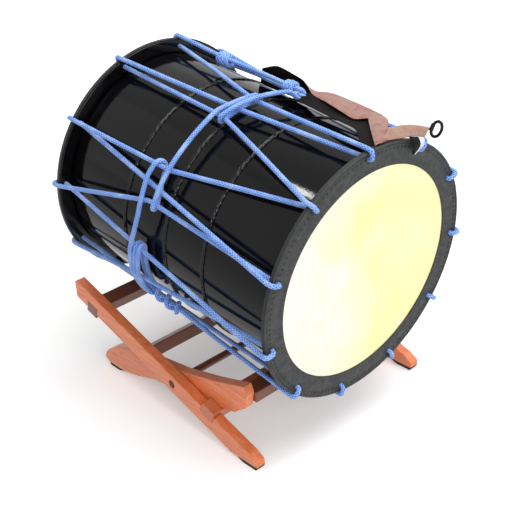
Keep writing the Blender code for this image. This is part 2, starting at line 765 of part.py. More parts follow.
def rail(name, corners, half_width, parent, material):
    """A straight bar across the stand with the section that the corners give."""
    bar = plank(name, corners, 2 * half_width, 0, parent, material)
    soften(bar)
    return bar


def inner_leg_faces():
    """X of the inner legs' outer and inner faces."""
    outer = STAND_HALF_WIDTH - LONG_LEG_THICKNESS - LEG_CLEARANCE
    return outer, outer - INNER_LEG_THICKNESS


def under_drum(y, radius):
    """Height under the drum at y, where its underside has the radius given."""
    return DRUM_HEIGHT + (y * sin(DRUM_TILT) - radius) / cos(DRUM_TILT)


def make_outer_frame(stand, wood):
    middle = STAND_HALF_WIDTH - LONG_LEG_THICKNESS / 2
    for label, side in (("left", -1), ("right", 1)):
        leg = plank("long_leg_" + label, long_leg_outline(), LONG_LEG_THICKNESS, side * middle, stand, wood)
        soften(leg)
        cut(leg, bolt_hole_cutter("bolt_hole_" + label, stand, side * middle, side))
    rail("stop_rail", stop_rail_corners(), STAND_HALF_WIDTH, stand, wood)
    rail("rear_rail", rear_rail_corners(), STAND_HALF_WIDTH, stand, wood)


def make_inner_frame(stand, fold, wood):
    """The inner legs and their rails. They are parented to the fold's pivot."""
    outer, inner = inner_leg_faces()
    back = Vector((0, -PIVOT[0], -PIVOT[1]))
    inner_origin = new_empty("inner_frame", back, fold)
    for label, side in (("left", -1), ("right", 1)):
        middle = side * (outer + inner) / 2
        leg = plank("inner_leg_" + label, inner_leg_outline(), INNER_LEG_THICKNESS, middle, inner_origin, wood)
        soften(leg)
        cut(leg, through_hole_cutter("axle_hole_" + label, inner_origin, middle))
    half_width = inner - GAP
    drop = drum_rail_depth()
    front, rear = DRUM_RAIL_FRONT, DRUM_RAIL_FRONT + DRUM_RAIL_SECTION[0]
    height = DRUM_RAIL_SECTION[1]
    corners = [
        (front, under_drum(front, drop) - height), (front, under_drum(front, drop)),
        (rear, under_drum(rear, drop)), (rear, under_drum(rear, drop) - height)]
    rail("drum_rail", corners, half_width, inner_origin, wood)
    wide, tall = BRACE_SECTION[0] / 2, BRACE_SECTION[1] / 2
    along, across = (cos(BRACE_SLOPE), sin(BRACE_SLOPE)), (-sin(BRACE_SLOPE), cos(BRACE_SLOPE))
    corners = [
        (BRACE_PLACE[0] + a * wide * along[0] + b * tall * across[0],
         BRACE_PLACE[1] + a * wide * along[1] + b * tall * across[1])
        for a, b in ((-1, -1), (-1, 1), (1, 1), (1, -1))]
    rail("brace_rail", corners, half_width, inner_origin, wood)
    bore = BOLT / 2 + GAP
    deep = half_width - DOWEL_BORE_DEPTH
    outline = [
        (0, deep), (bore, deep), (bore, half_width), (DOWEL / 2, half_width), (DOWEL / 2, -half_width),
        (bore, -half_width), (bore, -deep), (0, -deep)]
    shade(turned_core("pivot_dowel", outline, fold, wood, rotation=(0, pi / 2, 0), steps=24))


def make_pivot_hardware(stand, steel):
    outer, inner = inner_leg_faces()
    seat = STAND_HALF_WIDTH - COUNTERBORE_DEPTH + GAP
    tip = inner - DOWEL_BORE_DEPTH + GAP
    shank, head = BOLT / 2, BOLT_HEAD / 2
    top = seat + BOLT_HEAD_HEIGHT
    dome = 0.0012
    for label, side in (("left", -1), ("right", 1)):
        outline = [
            (0, top), (head - dome, top), (head, top - dome), (head, seat), (shank, seat), (shank, tip + dome),
            (shank - dome, tip), (0, tip)]
        turn = (0, side * pi / 2, 0)
        shade(turned_core("pivot_bolt_" + label, outline, stand, steel, (0, *PIVOT), turn, SMALL_STEPS))
        low, high = outer + GAP, outer + LEG_CLEARANCE - GAP
        bore = BOLT / 2 + GAP
        outline = [(bore, high), (WASHER / 2, high), (WASHER / 2, low), (bore, low)]
        turned("washer_" + label, outline, stand, steel, (0, *PIVOT), turn, SMALL_STEPS)


def make_pads(stand, inner_origin, rubber):
    """Rubber pads under the front feet of the long legs and the rear feet of the inner legs."""
    outer, inner = inner_leg_faces()
    front_toe, front_heel = FOOT_FRONT + 0.0005, FOOT_FRONT + 0.0515
    rear_toe, rear_heel = REAR_SOLE[0] + 0.0040, REAR_SOLE[1] - 0.0005
    front = [
        (front_toe + 0.003, 0), (front_heel - 0.014, 0), (front_heel, PAD_THICKNESS), (front_toe, PAD_THICKNESS)]
    rear = [
        (rear_toe + 0.014, 0), (rear_heel - 0.0015, 0), (rear_heel, PAD_THICKNESS), (rear_toe, PAD_THICKNESS)]
    inset = 0.0005
    for label, side in (("left", -1), ("right", 1)):
        middle = side * (STAND_HALF_WIDTH - LONG_LEG_THICKNESS / 2)
        plank("front_pad_" + label, front, LONG_LEG_THICKNESS - 2 * inset, middle, stand, rubber)
        middle = side * (outer + inner) / 2
        plank("rear_pad_" + label, rear, INNER_LEG_THICKNESS - 2 * inset, middle, inner_origin, rubber)


def stand_over_origin(root):
    """Move the whole model so that the middle of its box stands over the origin."""
    bpy.context.view_layer.update()
    graph = bpy.context.evaluated_depsgraph_get()
    low, high = Vector((9, 9, 9)), Vector((-9, -9, -9))
    for obj in bpy.data.collections[PARTS].objects:
        if obj.type == "EMPTY":
            continue
        shape = obj.evaluated_get(graph).to_mesh()
        for vertex in shape.vertices:
            point = obj.matrix_world @ vertex.co
            low = Vector(map(min, low, point))
            high = Vector(map(max, high, point))
    root.location = (-(low.x + high.x) / 2, -(low.y + high.y) / 2, -low.z)


def main():
    clear_scene()
    new_collection(PARTS)
    new_collection(CUTTERS)
    lacquer = new_material("black_lacquer", (0.006, 0.006, 0.007), 0.12)
    skin = new_material("rawhide", (0.90, 0.83, 0.56), 0.45)
    leather = new_material("black_leather", (0.045, 0.046, 0.050), 0.5)
    iron = new_material("iron", (0.20, 0.19, 0.18), 0.45, 1.0)
    rope = new_material("blue_rope", (0.10, 0.23, 0.62), 0.7)
    webbing = new_material("strap_suede", (0.30, 0.13, 0.09), 0.85)
    black = new_material("black_metal", (0.02, 0.02, 0.02), 0.4, 0.6)
    wood = new_material("red_oak", (0.62, 0.16, 0.05), 0.45)
    steel = new_material("steel", (0.55, 0.55, 0.55), 0.35, 1.0)
    rubber = new_material("rubber", (0.012, 0.012, 0.012), 0.8)

    stand = new_empty("stand", (0, 0, 0))
    fold = new_empty("fold_pivot", (0, *PIVOT), stand)
    drum = new_empty("drum", (0, 0, DRUM_HEIGHT), stand, (DRUM_TILT, 0, 0))
    bpy.context.view_layer.update()

    make_shell(drum, lacquer)
    make_hoops(drum, lacquer)
    make_head(-1, "front", drum, skin, leather, iron)
    make_head(1, "rear", drum, skin, leather, iron)
    make_lacing(drum, rope)
    make_tension_rope(drum, rope)
    make_strap(drum, webbing)

    strap_seat = new_empty("strap_seat", (0, 0, 0), drum, (0, STRAP_ANGLE, 0))
    hook_pivot = new_empty("hook_pivot", (0, KEEPER_STATION, KEEPER_RADIUS), strap_seat)
    make_tab(strap_seat, webbing)
    make_keeper(strap_seat, black)
    make_hook(hook_pivot, black)
    make_clip(strap_seat, black)

    make_outer_frame(stand, wood)
    make_inner_frame(stand, fold, wood)
    make_pivot_hardware(stand, steel)
    make_pads(stand, bpy.data.objects["inner_frame"], rubber)
    stand_over_origin(stand)


main()
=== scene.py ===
import json
import math

import bmesh
import bpy
import numpy as np
from bpy.props import FloatVectorProperty, IntProperty, PointerProperty
from mathutils import Matrix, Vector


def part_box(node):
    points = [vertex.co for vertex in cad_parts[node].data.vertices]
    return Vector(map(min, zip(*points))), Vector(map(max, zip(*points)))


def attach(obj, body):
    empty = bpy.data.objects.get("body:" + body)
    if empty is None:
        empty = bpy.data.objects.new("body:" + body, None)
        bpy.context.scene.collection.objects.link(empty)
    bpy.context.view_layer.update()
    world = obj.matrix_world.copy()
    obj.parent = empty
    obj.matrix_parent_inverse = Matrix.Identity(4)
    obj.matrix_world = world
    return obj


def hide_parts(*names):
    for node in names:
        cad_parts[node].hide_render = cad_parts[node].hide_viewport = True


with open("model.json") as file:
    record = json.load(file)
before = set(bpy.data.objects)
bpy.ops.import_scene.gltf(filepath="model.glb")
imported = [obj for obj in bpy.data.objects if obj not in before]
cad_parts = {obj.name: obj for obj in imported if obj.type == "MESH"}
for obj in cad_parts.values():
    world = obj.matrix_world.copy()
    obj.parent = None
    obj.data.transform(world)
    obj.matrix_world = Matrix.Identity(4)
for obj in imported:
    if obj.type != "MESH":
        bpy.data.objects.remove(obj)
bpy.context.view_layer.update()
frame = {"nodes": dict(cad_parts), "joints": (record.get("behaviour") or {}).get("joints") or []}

bl_info = {
    "name": "Okedo drum on a folding stand",
    "version": (1, 0, 0),
    "blender": (4, 5, 0),
    "location": "View3D > Sidebar > Okedo",
    "description": "Dresses the rope-laced barrel drum and its wooden stand",
    "category": "Object",
}

# The drum's own frame: x across, s along its axis towards the rear, h up from the axis. A station is
# a place along the axis. Lengths are in metres and loose angles in degrees.
TILT = math.radians(6.447)
DRUM_AT = next(j["pos_m"] for j in frame["joints"] if j["name"] == "drum_lift")
DRUM_LENGTH = 0.5707
FACE = DRUM_LENGTH / 2
SHELL_RADIUS = 0.2130
SHELL_END_RADIUS = 0.2065
SHELL_SHOULDER = 0.020
SHELL_WALL = 0.011
SHELL_BULGE = 0.0012
SHELL_HALF = FACE - 0.0037
HOOP_STATIONS = {"hoop_front": -0.104, "hoop_middle": -0.004, "hoop_rear": 0.108}
FLANGE_RADIUS = 0.2405
FLANGE_DEPTH = 0.0100
BAND_INNER_RADIUS = 0.1984
BAND_THICKNESS = 0.0019
BAND_CORNER = 0.0012
BAND_SIDE = 0.0080
BAND_GROOVE_RADIUS = FLANGE_RADIUS - 0.0048
OUTER_STITCH_RADIUS, INNER_STITCH_RADIUS = FLANGE_RADIUS - 0.0112, BAND_INNER_RADIUS + 0.0085
SLOT_HALF_LENGTH, SLOT_HALF_WIDTH = 0.0052, 0.0068
LOOPS = 11
LOOP_PITCH = 360 / LOOPS
FRONT_LOOP, REAR_LOOP = -5.0, -21.4
LOOP_HOLE_RADIUS = 0.2265
LOOP_BEND = 0.0055
REAR_LOOP_SHIFTS = {0: 1.8, 2: 1.8, 10: 3.0}
ROPE_RADIUS = 0.0042
ROPE_SEAT = 0.0043
PLAIT_SWELL = 0.035
STRAND_RADIUS = 0.2336
CROSSING_REACH = 0.0112
OVER, UNDER = STRAND_RADIUS + CROSSING_REACH, STRAND_RADIUS - CROSSING_REACH
TURN_REACH = 0.0094
DRUM_RAIL_SPAN = (-0.2155, -0.1575)
REAR_RAIL_STATION, REAR_RAIL_EDGE, REAR_RAIL_SLOPE = 0.20, (0.2486, 0.2356), 0.20
LOW_STRAND = 0.8
BUNCH_FROM, BUNCH_TO, BUNCH_REACH, BUNCH_SHARE = 7.8, 12.6, 16, 0.42
LONG_LEG_SLOPE, SHORT_LEG_SLOPE = math.atan(0.33), -0.2

# The studio: the lamps' names, places, aims, sides in metres and watts, then the photograph's camera
FLOOR_REACH = 9.0
FADE = (0.9, 2.6)
LAMPS = (
    ("lamp_ceiling", (0.55, -0.75, 2.6), (0, 0, 0.4), 2.0, 58),
    ("lamp_wall", (-1.7, 1.45, 1.65), (0, 0, 0.35), 2.2, 4),
    ("lamp_front", (-1.1, -2.7, 1.6), (0, -0.2, 0.35), 1.5, 37),
    ("lamp_spark", (-0.463, 0.736, 2.218), (-0.113, -0.26, 0.52), 0.14, 3.2))
LENS_MM, SENSOR_MM = 75.89, 36
CAMERA_RIGHT, CAMERA_UP = (0.7318, -0.6790, -0.0590), (0.36515, 0.31747, 0.87515)
CAMERA_BACK, CAMERA_PLACE = (-0.57545, -0.66199, 0.48025), (-1.1822, -1.3503, 1.2531)


# Numbers into shapes

def linear(hex_code):
    """An sRGB hex colour as linear RGB."""
    channels = [int(hex_code[i:i + 2], 16) / 255 for i in (1, 3, 5)]
    return tuple(c / 12.92 if c <= 0.04045 else ((c + 0.055) / 1.055) ** 2.4 for c in channels)


def bell(value, middle, width):
    """A bell curve one high."""
    return np.exp(-((value - middle) / width) ** 2)


def polar(radius, degrees, station):
    """Points in the drum's frame from the radius, the angle from the top towards +X and the station."""
    angle = np.radians(degrees)
    return np.stack(np.broadcast_arrays(radius * np.sin(angle), station, radius * np.cos(angle)), -1)


def on_drum(radius, degrees, station):
    """The same points in the world."""
    return from_drum(polar(radius, degrees, station))


def from_drum(points):
    """World points from the drum's frame: a turn about X by the tilt, then the step to the drum's middle."""
    x, s, h = np.moveaxis(np.asarray(points, float), -1, 0)
    y = s * math.cos(TILT) - h * math.sin(TILT)
    z = s * math.sin(TILT) + h * math.cos(TILT)
    return np.stack([x, y, z], -1) + np.array(DRUM_AT)


def surface(name, points, around_u=False, around_v=False, uv=None, sharp=38):
    """A mesh on a grid of points[u, v]. A side that goes around is joined to its start, and points
    that fall together, as at a pole, become one. The texture runs as far as uv says along each side."""
    nu, nv = points.shape[:2]
    number = np.arange(nu * nv).reshape(nu, nv)
    u = np.arange(nu if around_u else nu - 1)
    v = np.arange(nv if around_v else nv - 1)
    u, v = (a.ravel() for a in np.meshgrid(u, v, indexing="ij"))
    u2, v2 = (u + 1) % nu, (v + 1) % nv
    faces = np.stack([number[u, v], number[u2, v], number[u2, v2], number[u, v2]], -1)
    mesh = bpy.data.meshes.new(name)
    mesh.from_pydata(points.reshape(-1, 3), [], faces.tolist())
    if uv is not None:
        corner_u = np.stack([u, u + 1, u + 1, u], -1)
        corner_v = np.stack([v, v, v + 1, v + 1], -1)
        layer = mesh.uv_layers.new(name="along")
        values = np.stack([corner_u * uv[0] / nu, corner_v * uv[1] / nv], -1)
        layer.data.foreach_set("uv", values.astype(np.float32).ravel())
    obj = bpy.data.objects.new(name, mesh)
    bpy.context.scene.collection.objects.link(obj)
    tidy(mesh)
    mesh.shade_smooth()
    mesh.set_sharp_from_angle(angle=math.radians(sharp))
    return obj


def tidy(mesh):
    """Closes poles and seams and turns every face outwards."""
    shape = bmesh.new()
    shape.from_mesh(mesh)
    bmesh.ops.remove_doubles(shape, verts=shape.verts, dist=1e-6)
    bmesh.ops.recalc_face_normals(shape, faces=shape.faces)
    shape.to_mesh(mesh)
    shape.free()


def lengths(path):
    """How far along a path each of its points is."""
    return np.r_[0, np.cumsum(np.linalg.norm(np.diff(path, axis=0), axis=1))]


def evened(path, step):
    """A polyline cut anew into steps."""
    along = lengths(path)
    places = np.linspace(0, along[-1], max(4, int(along[-1] / step)))
    return np.stack([np.interp(places, along, column) for column in path.T], -1)


def rounded(path, width, step, closed):
    """A polyline evened out: cut fine, averaged with a bell curve of the given width, then cut in steps."""
    path = np.asarray(path, float)
    if closed:
        path = np.vstack([path, path[:1]])
    fine = 0.0008
    dense = evened(path, fine)
    reach = int(3 * width / fine)
    weights = np.exp(-0.5 * (np.arange(-reach, reach + 1) * fine / width) ** 2)
    weights /= weights.sum()
    mode = "wrap" if closed else "edge"
    ends = np.pad(dense[:-1] if closed else dense, ((reach, reach), (0, 0)), mode=mode)
    dense = np.stack([np.convolve(column, weights, "valid") for column in ends.T], -1)
    if closed:
        return evened(np.vstack([dense, dense[:1]]), step)[:-1]
    return evened(dense, step)


def carried_frames(path, closed):
    """Two directions across the path at each point, carried along it without twist by reflecting each
    pair into the next. On a closed path the twist left at the end is spread over its length."""
    tangent = np.roll(path, -1, 0) - np.roll(path, 1, 0) if closed else np.gradient(path, axis=0)
    tangent /= np.linalg.norm(tangent, axis=1)[:, None]
    first = np.cross(tangent[0], (0.31, 0.17, 0.94))
    side = [first / np.linalg.norm(first)]
    for i in [*range(1, len(path)), *([0] if closed else [])]:
        step = path[i] - path[i - 1]
        turned_side = side[-1] - 2 * (side[-1] @ step) / (step @ step) * step
        turned_tangent = tangent[i - 1] - 2 * (tangent[i - 1] @ step) / (step @ step) * step
        mirror = tangent[i] - turned_tangent
        size = mirror @ mirror
        if size > 1e-18:
            turned_side = turned_side - 2 * (mirror @ turned_side) / size * mirror
        side.append(turned_side)
    side = np.array(side)
    if closed:
        end = side[-1]
        twist = math.atan2(np.cross(tangent[0], end) @ side[0], end @ side[0])
        side = side[:-1]
        turn = (np.arange(len(path)) / len(path) * twist)[:, None]
        side = side * np.cos(turn) + np.cross(tangent, side) * np.sin(turn)
    return side, np.cross(tangent, side)


def tube(name, path, radius, sides, closed=False, weave=0.0):
    """A round cord: a circle carried along the path. A plaited cord swells where its strands cross, as
    the product of two helices of opposite hand, with four strands in each."""
    side, other = carried_frames(path, closed)
    turn = np.arange(sides) / sides * 2 * np.pi
    along = lengths(path)
    swing = along[:, None] / radius
    swell = 1 + weave * np.cos(4 * turn + swing) * np.cos(4 * turn - swing)
    size = radius * swell
    if not closed:
        size = size * np.sqrt(np.clip(np.minimum(along, along[-1] - along) / radius * 2, 0, 1))[:, None]
    points = path[:, None] + size[..., None] * (
        side[:, None] * np.cos(turn)[None, :, None] + other[:, None] * np.sin(turn)[None, :, None])
    return surface(name, points, closed, True, (along[-1] / (2 * np.pi * radius), 1.0), 60)


def through(places, count):
    """A smooth line through (station, degrees, radius) places: on each span a cubic whose end slopes are
    half the step between its neighbours."""
    station, degrees, radius = np.array(places, float).T
    knots = polar(radius, degrees, station)
    slope = np.gradient(knots, axis=0)
    t = np.linspace(0, len(knots) - 1, count)
    i = np.minimum(t.astype(int), len(knots) - 2)
    t = (t - i)[:, None]
    return ((1 + 2 * t) * (1 - t) ** 2 * knots[i] + t * (1 - t) ** 2 * slope[i]
            + t * t * (3 - 2 * t) * knots[i + 1] + t * t * (t - 1) * slope[i + 1])


def cloth(name, near, far, thickness, bow=0.0, waves=0.0):
    """A flat band between two edges, its middle bowed out by a parabola and rippled along by sines. Its
    first material is on the outer side and its second on the back and the edges."""
    rows, columns = 150, 13
    near, far = through(near, rows), through(far, rows)
    lie = np.linspace(0, 1, columns)[None, :, None]
    middle = near[:, None] * (1 - lie) + far[:, None] * lie
    along, across = np.gradient(middle, axis=0), np.gradient(middle, axis=1)
    out = np.cross(along, across)
    out /= np.linalg.norm(out, axis=2)[..., None]
    t = np.linspace(0, 1, rows)[:, None, None]
    ripple = np.sin(19 * t + 2.5 * lie) * np.sin(7 * t + 1.0) * (0.3 + 0.7 * (2 * lie - 1) ** 2)
    middle = middle + out * (bow * 4 * lie * (1 - lie) + waves * ripple)
    edge = np.clip(np.minimum(t, 1 - t) * 60, 0, 1)
    half = thickness / 2 * edge * (1 - 0.5 * np.abs(2 * lie - 1) ** 10)
    points = np.concatenate([middle + out * half, (middle - out * half)[:, ::-1]], 1)
    piece = surface(name, from_drum(points), False, True, (rows, 2 * columns), sharp=50)
    face = np.arange(len(piece.data.polygons)) % (2 * columns)
    piece.data.polygons.foreach_set("material_index", (face >= columns - 1).astype(np.int32))
    return piece


# Finishes

A, B = 6, 7  # The sockets for two colours on a Mix node


def connect(node, values):
    """Fills a node's sockets, named or in order. A number or a colour is set, and what comes from another
    node is linked."""
    for key, value in values.items() if isinstance(values, dict) else enumerate(values):
        socket = node.inputs[key]
        if isinstance(value, bpy.types.Node):
            value = next(output for output in value.outputs if output.enabled)
        if isinstance(value, bpy.types.NodeSocket):
            node.id_data.links.new(value, socket)
        else:
            socket.default_value = (*value, 1) if socket.type == "RGBA" else value


def add(tree, kind, values=(), **settings):
    """Adds one node with its settings and links."""
    node = tree.nodes.new("ShaderNode" + kind)
    for key, value in settings.items():
        setattr(node, key, value)
    connect(node, values)
    return node


def finish(name, **sockets):
    """A Principled material and its two ends: the node tree and the shader."""
    material = bpy.data.materials.new(name)
    material.use_nodes = True
    shader = material.node_tree.nodes["Principled BSDF"]
    connect(shader, {key.replace("_", " "): value for key, value in sockets.items()})
    return material, material.node_tree, shader


def object_place(tree, scale=(1, 1, 1), rotation=(0, 0, 0)):
    """Object coordinates in metres, turned and scaled."""
    place = add(tree, "TexCoord").outputs["Object"]
    return add(tree, "Mapping", {"Vector": place, "Rotation": rotation, "Scale": scale})


def lacquer(name="urushi_lacquer_polished", gloss=0.15):
    """Black lacquer rubbed to a mirror. The eye sees the room in it, a little wavy from the staves."""
    colours = bpy.context.scene.okedo_finishes
    material, tree, shader = finish(name, Base_Color=colours.lacquer, IOR=1.52, Specular_IOR_Level=gloss)
    place = object_place(tree)
    film = add(tree, "TexNoise", {"Vector": place, "Scale": 9.0, "Detail": 4.0})
    rub = add(tree, "MapRange", (film, 0.35, 0.7, 0.05, 0.13))
    ripple = add(tree, "TexNoise", {"Vector": place, "Scale": 260.0, "Detail": 2.0})
    relief = add(tree, "Bump", {"Height": ripple, "Distance": 0.00006})
    connect(shader, {"Roughness": rub, "Normal": relief})
    return material


def rawhide(name="rawhide_stretched"):
    """Cream rawhide, scraped and stretched dry: faint clouds, drawn paler towards -X as a painted sheen, with
    a waxy sheen and fine pores."""
    colours = bpy.context.scene.okedo_finishes
    material, tree, shader = finish(
        name, Roughness=0.38, IOR=1.5, Subsurface_Weight=0.08, Subsurface_Scale=0.004, Coat_Weight=0.15,
        Coat_Roughness=0.3)
    place = object_place(tree)
    cloud = add(tree, "TexNoise", {"Vector": place, "Scale": 9.0, "Detail": 4.0, "Distortion": 0.4})
    pores = add(tree, "TexNoise", {"Vector": place, "Scale": 420.0, "Detail": 3.0})
    patches = add(tree, "MapRange", (cloud, 0.3, 0.75, 0.0, 1.0))
    across = add(tree, "SeparateXYZ", (place,)).outputs["X"]
    # Painted sheen: towards -X the skin is drawn nearly white
    drift = add(tree, "Math", (cloud, 0.34, across), operation="MULTIPLY_ADD")
    painted_sheen = add(tree, "MapRange", (drift, 0.02, 0.22, 1.0, 0.0))
    colour = add(tree, "Mix", {"Factor": patches, A: colours.skin, B: colours.skin_shade}, data_type="RGBA")
    colour = add(tree, "Mix", {"Factor": painted_sheen, A: colour, B: linear("#FBF8E2")}, data_type="RGBA")
    relief = add(tree, "Bump", {"Height": pores, "Distance": 0.00008})
    connect(shader, {"Base Color": colour, "Normal": relief})
    return material


def band_leather(name="cowhide_tanned_black"):
    """Thick black cowhide with its grain side out: pebbled cells about 1.5 mm across, rubbed grey in
    patches, with painted shade in the stitch holes, the slots and the creases."""
    colours = bpy.context.scene.okedo_finishes
    material, tree, shader = finish(name, IOR=1.5)
    place = object_place(tree)
    cells = add(tree, "TexVoronoi", {"Vector": place, "Scale": 650.0}, feature="DISTANCE_TO_EDGE")
    hide = add(tree, "TexNoise", {"Vector": place, "Scale": 90.0, "Detail": 5.0})
    rubbed = add(tree, "MapRange", (hide, 0.3, 0.72, 0.0, 1.0))
    # Painted shade: the recesses, slots and side marked in make_band are drawn near-black
    dark = add(tree, "Attribute", attribute_name="painted_shade").outputs["Fac"]
    colour = add(tree, "Mix", {"Factor": rubbed, A: colours.band, B: colours.band_rubbed}, data_type="RGBA")
    colour = add(tree, "Mix", {"Factor": dark, A: colour, B: linear("#060606")}, data_type="RGBA")
    dull = add(tree, "MapRange", (hide, 0.3, 0.7, 0.62, 0.42))
    grain = add(tree, "MapRange", (cells, 0.0, 0.25, 0.0, 1.0))
    height = add(tree, "Math", (grain, hide), operation="ADD")
    relief = add(tree, "Bump", {"Height": height, "Distance": 0.00022})
    connect(shader, {"Base Color": colour, "Roughness": dull, "Normal": relief})
    return material


def plaited_rope(name="cotton_rope_plaited_blue"):
    """Plaited cotton rope: yarns in a herring-bone, their crowns drawn pale and their valleys dark as painted
    light and shade, with pale worn patches. The real yarns are about 2.5 mm wide, and they are drawn twice
    as wide so that they show."""
    colours = bpy.context.scene.okedo_finishes
    material, tree, shader = finish(
        name, Roughness=0.72, IOR=1.45, Sheen_Weight=0.35, Sheen_Roughness=0.4)
    along, around = add(tree, "SeparateXYZ", (add(tree, "UVMap", uv_map="along"),)).outputs[:2]
    hands = []
    for hand in (1, -1):
        # Five yarns of each hand, one turn in about four diameters
        lead = add(tree, "Math", (along, 4.0 * hand), operation="MULTIPLY")
        phase = add(tree, "Math", (around, 5.0, lead), operation="MULTIPLY_ADD")
        angle = add(tree, "Math", (phase, 2 * math.pi), operation="MULTIPLY")
        hands.append(add(tree, "Math", (angle,), operation="COSINE"))
    plait = add(tree, "Math", hands, operation="MAXIMUM")
    crown = add(tree, "MapRange", (plait, -0.4, 1.0, 0.0, 1.0))
    place = object_place(tree)
    worn = add(tree, "TexNoise", {"Vector": place, "Scale": 35.0, "Detail": 4.0})
    fibre = add(tree, "TexNoise", {"Vector": place, "Scale": 900.0, "Detail": 2.0})
    # Painted light and shade: the plait's crowns are drawn pale and its valleys dark
    tone = add(tree, "Mix", {"Factor": crown, A: colours.rope_shade, B: colours.rope}, data_type="RGBA")
    pale = add(tree, "MapRange", (worn, 0.45, 0.75, 0.0, 0.5))
    tone = add(tree, "Mix", {"Factor": pale, A: tone, B: colours.rope_worn}, data_type="RGBA")
    height = add(tree, "Math", (fibre, 0.35, crown), operation="MULTIPLY_ADD")
    relief = add(tree, "Bump", {"Height": height, "Distance": 0.0005})
    connect(shader, {"Base Color": tone, "Normal": relief})
    return material


def suede(name="calf_suede_brushed", worn=0.0):
    """Brushed calf suede on one side of the strap: dusty pink brown with darker red rubs, dirt and a soft
    nap, paler by the share that is worn off."""
    colours = bpy.context.scene.okedo_finishes
    material, tree, shader = finish(name, Roughness=0.9, IOR=1.4, Sheen_Weight=0.35, Sheen_Roughness=0.6)
    place = object_place(tree)
    rub = add(tree, "TexNoise", {"Vector": place, "Scale": 62.0, "Detail": 6.0, "Distortion": 0.3})
    nap = add(tree, "TexNoise", {"Vector": place, "Scale": 700.0, "Detail": 3.0})
    dirt = add(tree, "TexNoise", {"Vector": place, "Scale": 210.0, "Detail": 4.0})
    share = add(tree, "MapRange", (rub, 0.47, 0.60, 0.0, 1.0))
    soiled = add(tree, "MapRange", (dirt, 0.52, 0.68, 0.0, 0.55))
    colour = add(tree, "Mix", {"Factor": share, A: colours.suede, B: colours.suede_red}, data_type="RGBA")
    colour = add(tree, "Mix", {"Factor": soiled, A: colour, B: linear("#5E4034")}, data_type="RGBA")
    colour = add(tree, "Mix", {"Factor": worn, A: colour, B: linear("#A08E78")}, data_type="RGBA")
    relief = add(tree, "Bump", {"Height": nap, "Distance": 0.0003})
    connect(shader, {"Base Color": colour, "Normal": relief})
    return material


def smooth_leather(name="strap_leather_black"):
    """The strap's smooth reverse, black and slightly waxed, with fine creases."""
    colours = bpy.context.scene.okedo_finishes
    material, tree, shader = finish(
        name, Base_Color=colours.strap_reverse, Roughness=0.7, IOR=1.4, Specular_IOR_Level=0.12)
    creases = add(tree, "TexNoise", {"Vector": object_place(tree), "Scale": 120.0, "Detail": 4.0})
    connect(shader, {"Normal": add(tree, "Bump", {"Height": creases, "Distance": 0.0004})})
    return material


def black_enamel(name="steel_enamelled_black"):
    """Steel wire and plate, black enamelled: glossy, rubbed a little dull."""
    material, tree, shader = finish(name, Base_Color=linear("#08090A"), IOR=1.5, Specular_IOR_Level=0.16)
    rub = add(tree, "TexNoise", {"Vector": object_place(tree), "Scale": 180.0, "Detail": 3.0})
    connect(shader, {"Roughness": add(tree, "MapRange", (rub, 0.0, 1.0, 0.22, 0.5))})
    return material


def bolt_steel(name="steel_bolt_dark_for_hole_shade"):
    """Mild steel bolts: dark metal, drawn dark brown also as painted shade for the recessed holes they sit
    in, with lighter rubbed spots.
    """
    material, tree, shader = finish(name, Metallic=1.0)
    cloud = add(tree, "TexNoise", {"Vector": object_place(tree), "Scale": 300.0, "Detail": 4.0})
    # Painted shade: the dark brown also stands for the shade in each bolt's recess
    brown = {"Factor": cloud, A: linear("#2A1C15"), B: linear("#6A5548")}
    dull = add(tree, "MapRange", (cloud, 0.0, 1.0, 0.34, 0.6))
    connect(shader, {"Base Color": add(tree, "Mix", brown, data_type="RGBA"), "Roughness": dull})
    return material


def white_felt(name="felt_white"):
    """White felt that lines the clip: soft, matt, a little fuzzy."""
    material, tree, shader = finish(name, Base_Color=linear("#CBCDDE"), Roughness=0.95, IOR=1.4)
    fuzz = add(tree, "TexNoise", {"Vector": object_place(tree), "Scale": 500.0, "Detail": 3.0})
    connect(shader, {"Normal": add(tree, "Bump", {"Height": fuzz, "Distance": 0.0002})})
    return material


def black_iron(name="iron_rod_forged"):
    """The plain iron rod in each head's rim, blackened by the fire."""
    material, tree, shader = finish(name, Metallic=1.0, Roughness=0.5)
    scale = add(tree, "TexNoise", {"Vector": object_place(tree), "Scale": 160.0, "Detail": 5.0})
    black = {"Factor": scale, A: linear("#3A3837"), B: linear("#5C5550")}
    connect(shader, {"Base Color": add(tree, "Mix", black, data_type="RGBA")})
    return material


def rubber(name="rubber_sheet_black"):
    """Cut black rubber sheet: matt, with dust in its pores."""
    material, tree, shader = finish(name, Roughness=0.85, IOR=1.5)
    dust = add(tree, "TexNoise", {"Vector": object_place(tree), "Scale": 400.0, "Detail": 4.0})
    dusty = {"Factor": dust, A: linear("#0E0E0F"), B: linear("#262627")}
    relief = add(tree, "Bump", {"Height": dust, "Distance": 0.0002})
    connect(shader, {"Base Color": add(tree, "Mix", dusty, data_type="RGBA"), "Normal": relief})
    return material


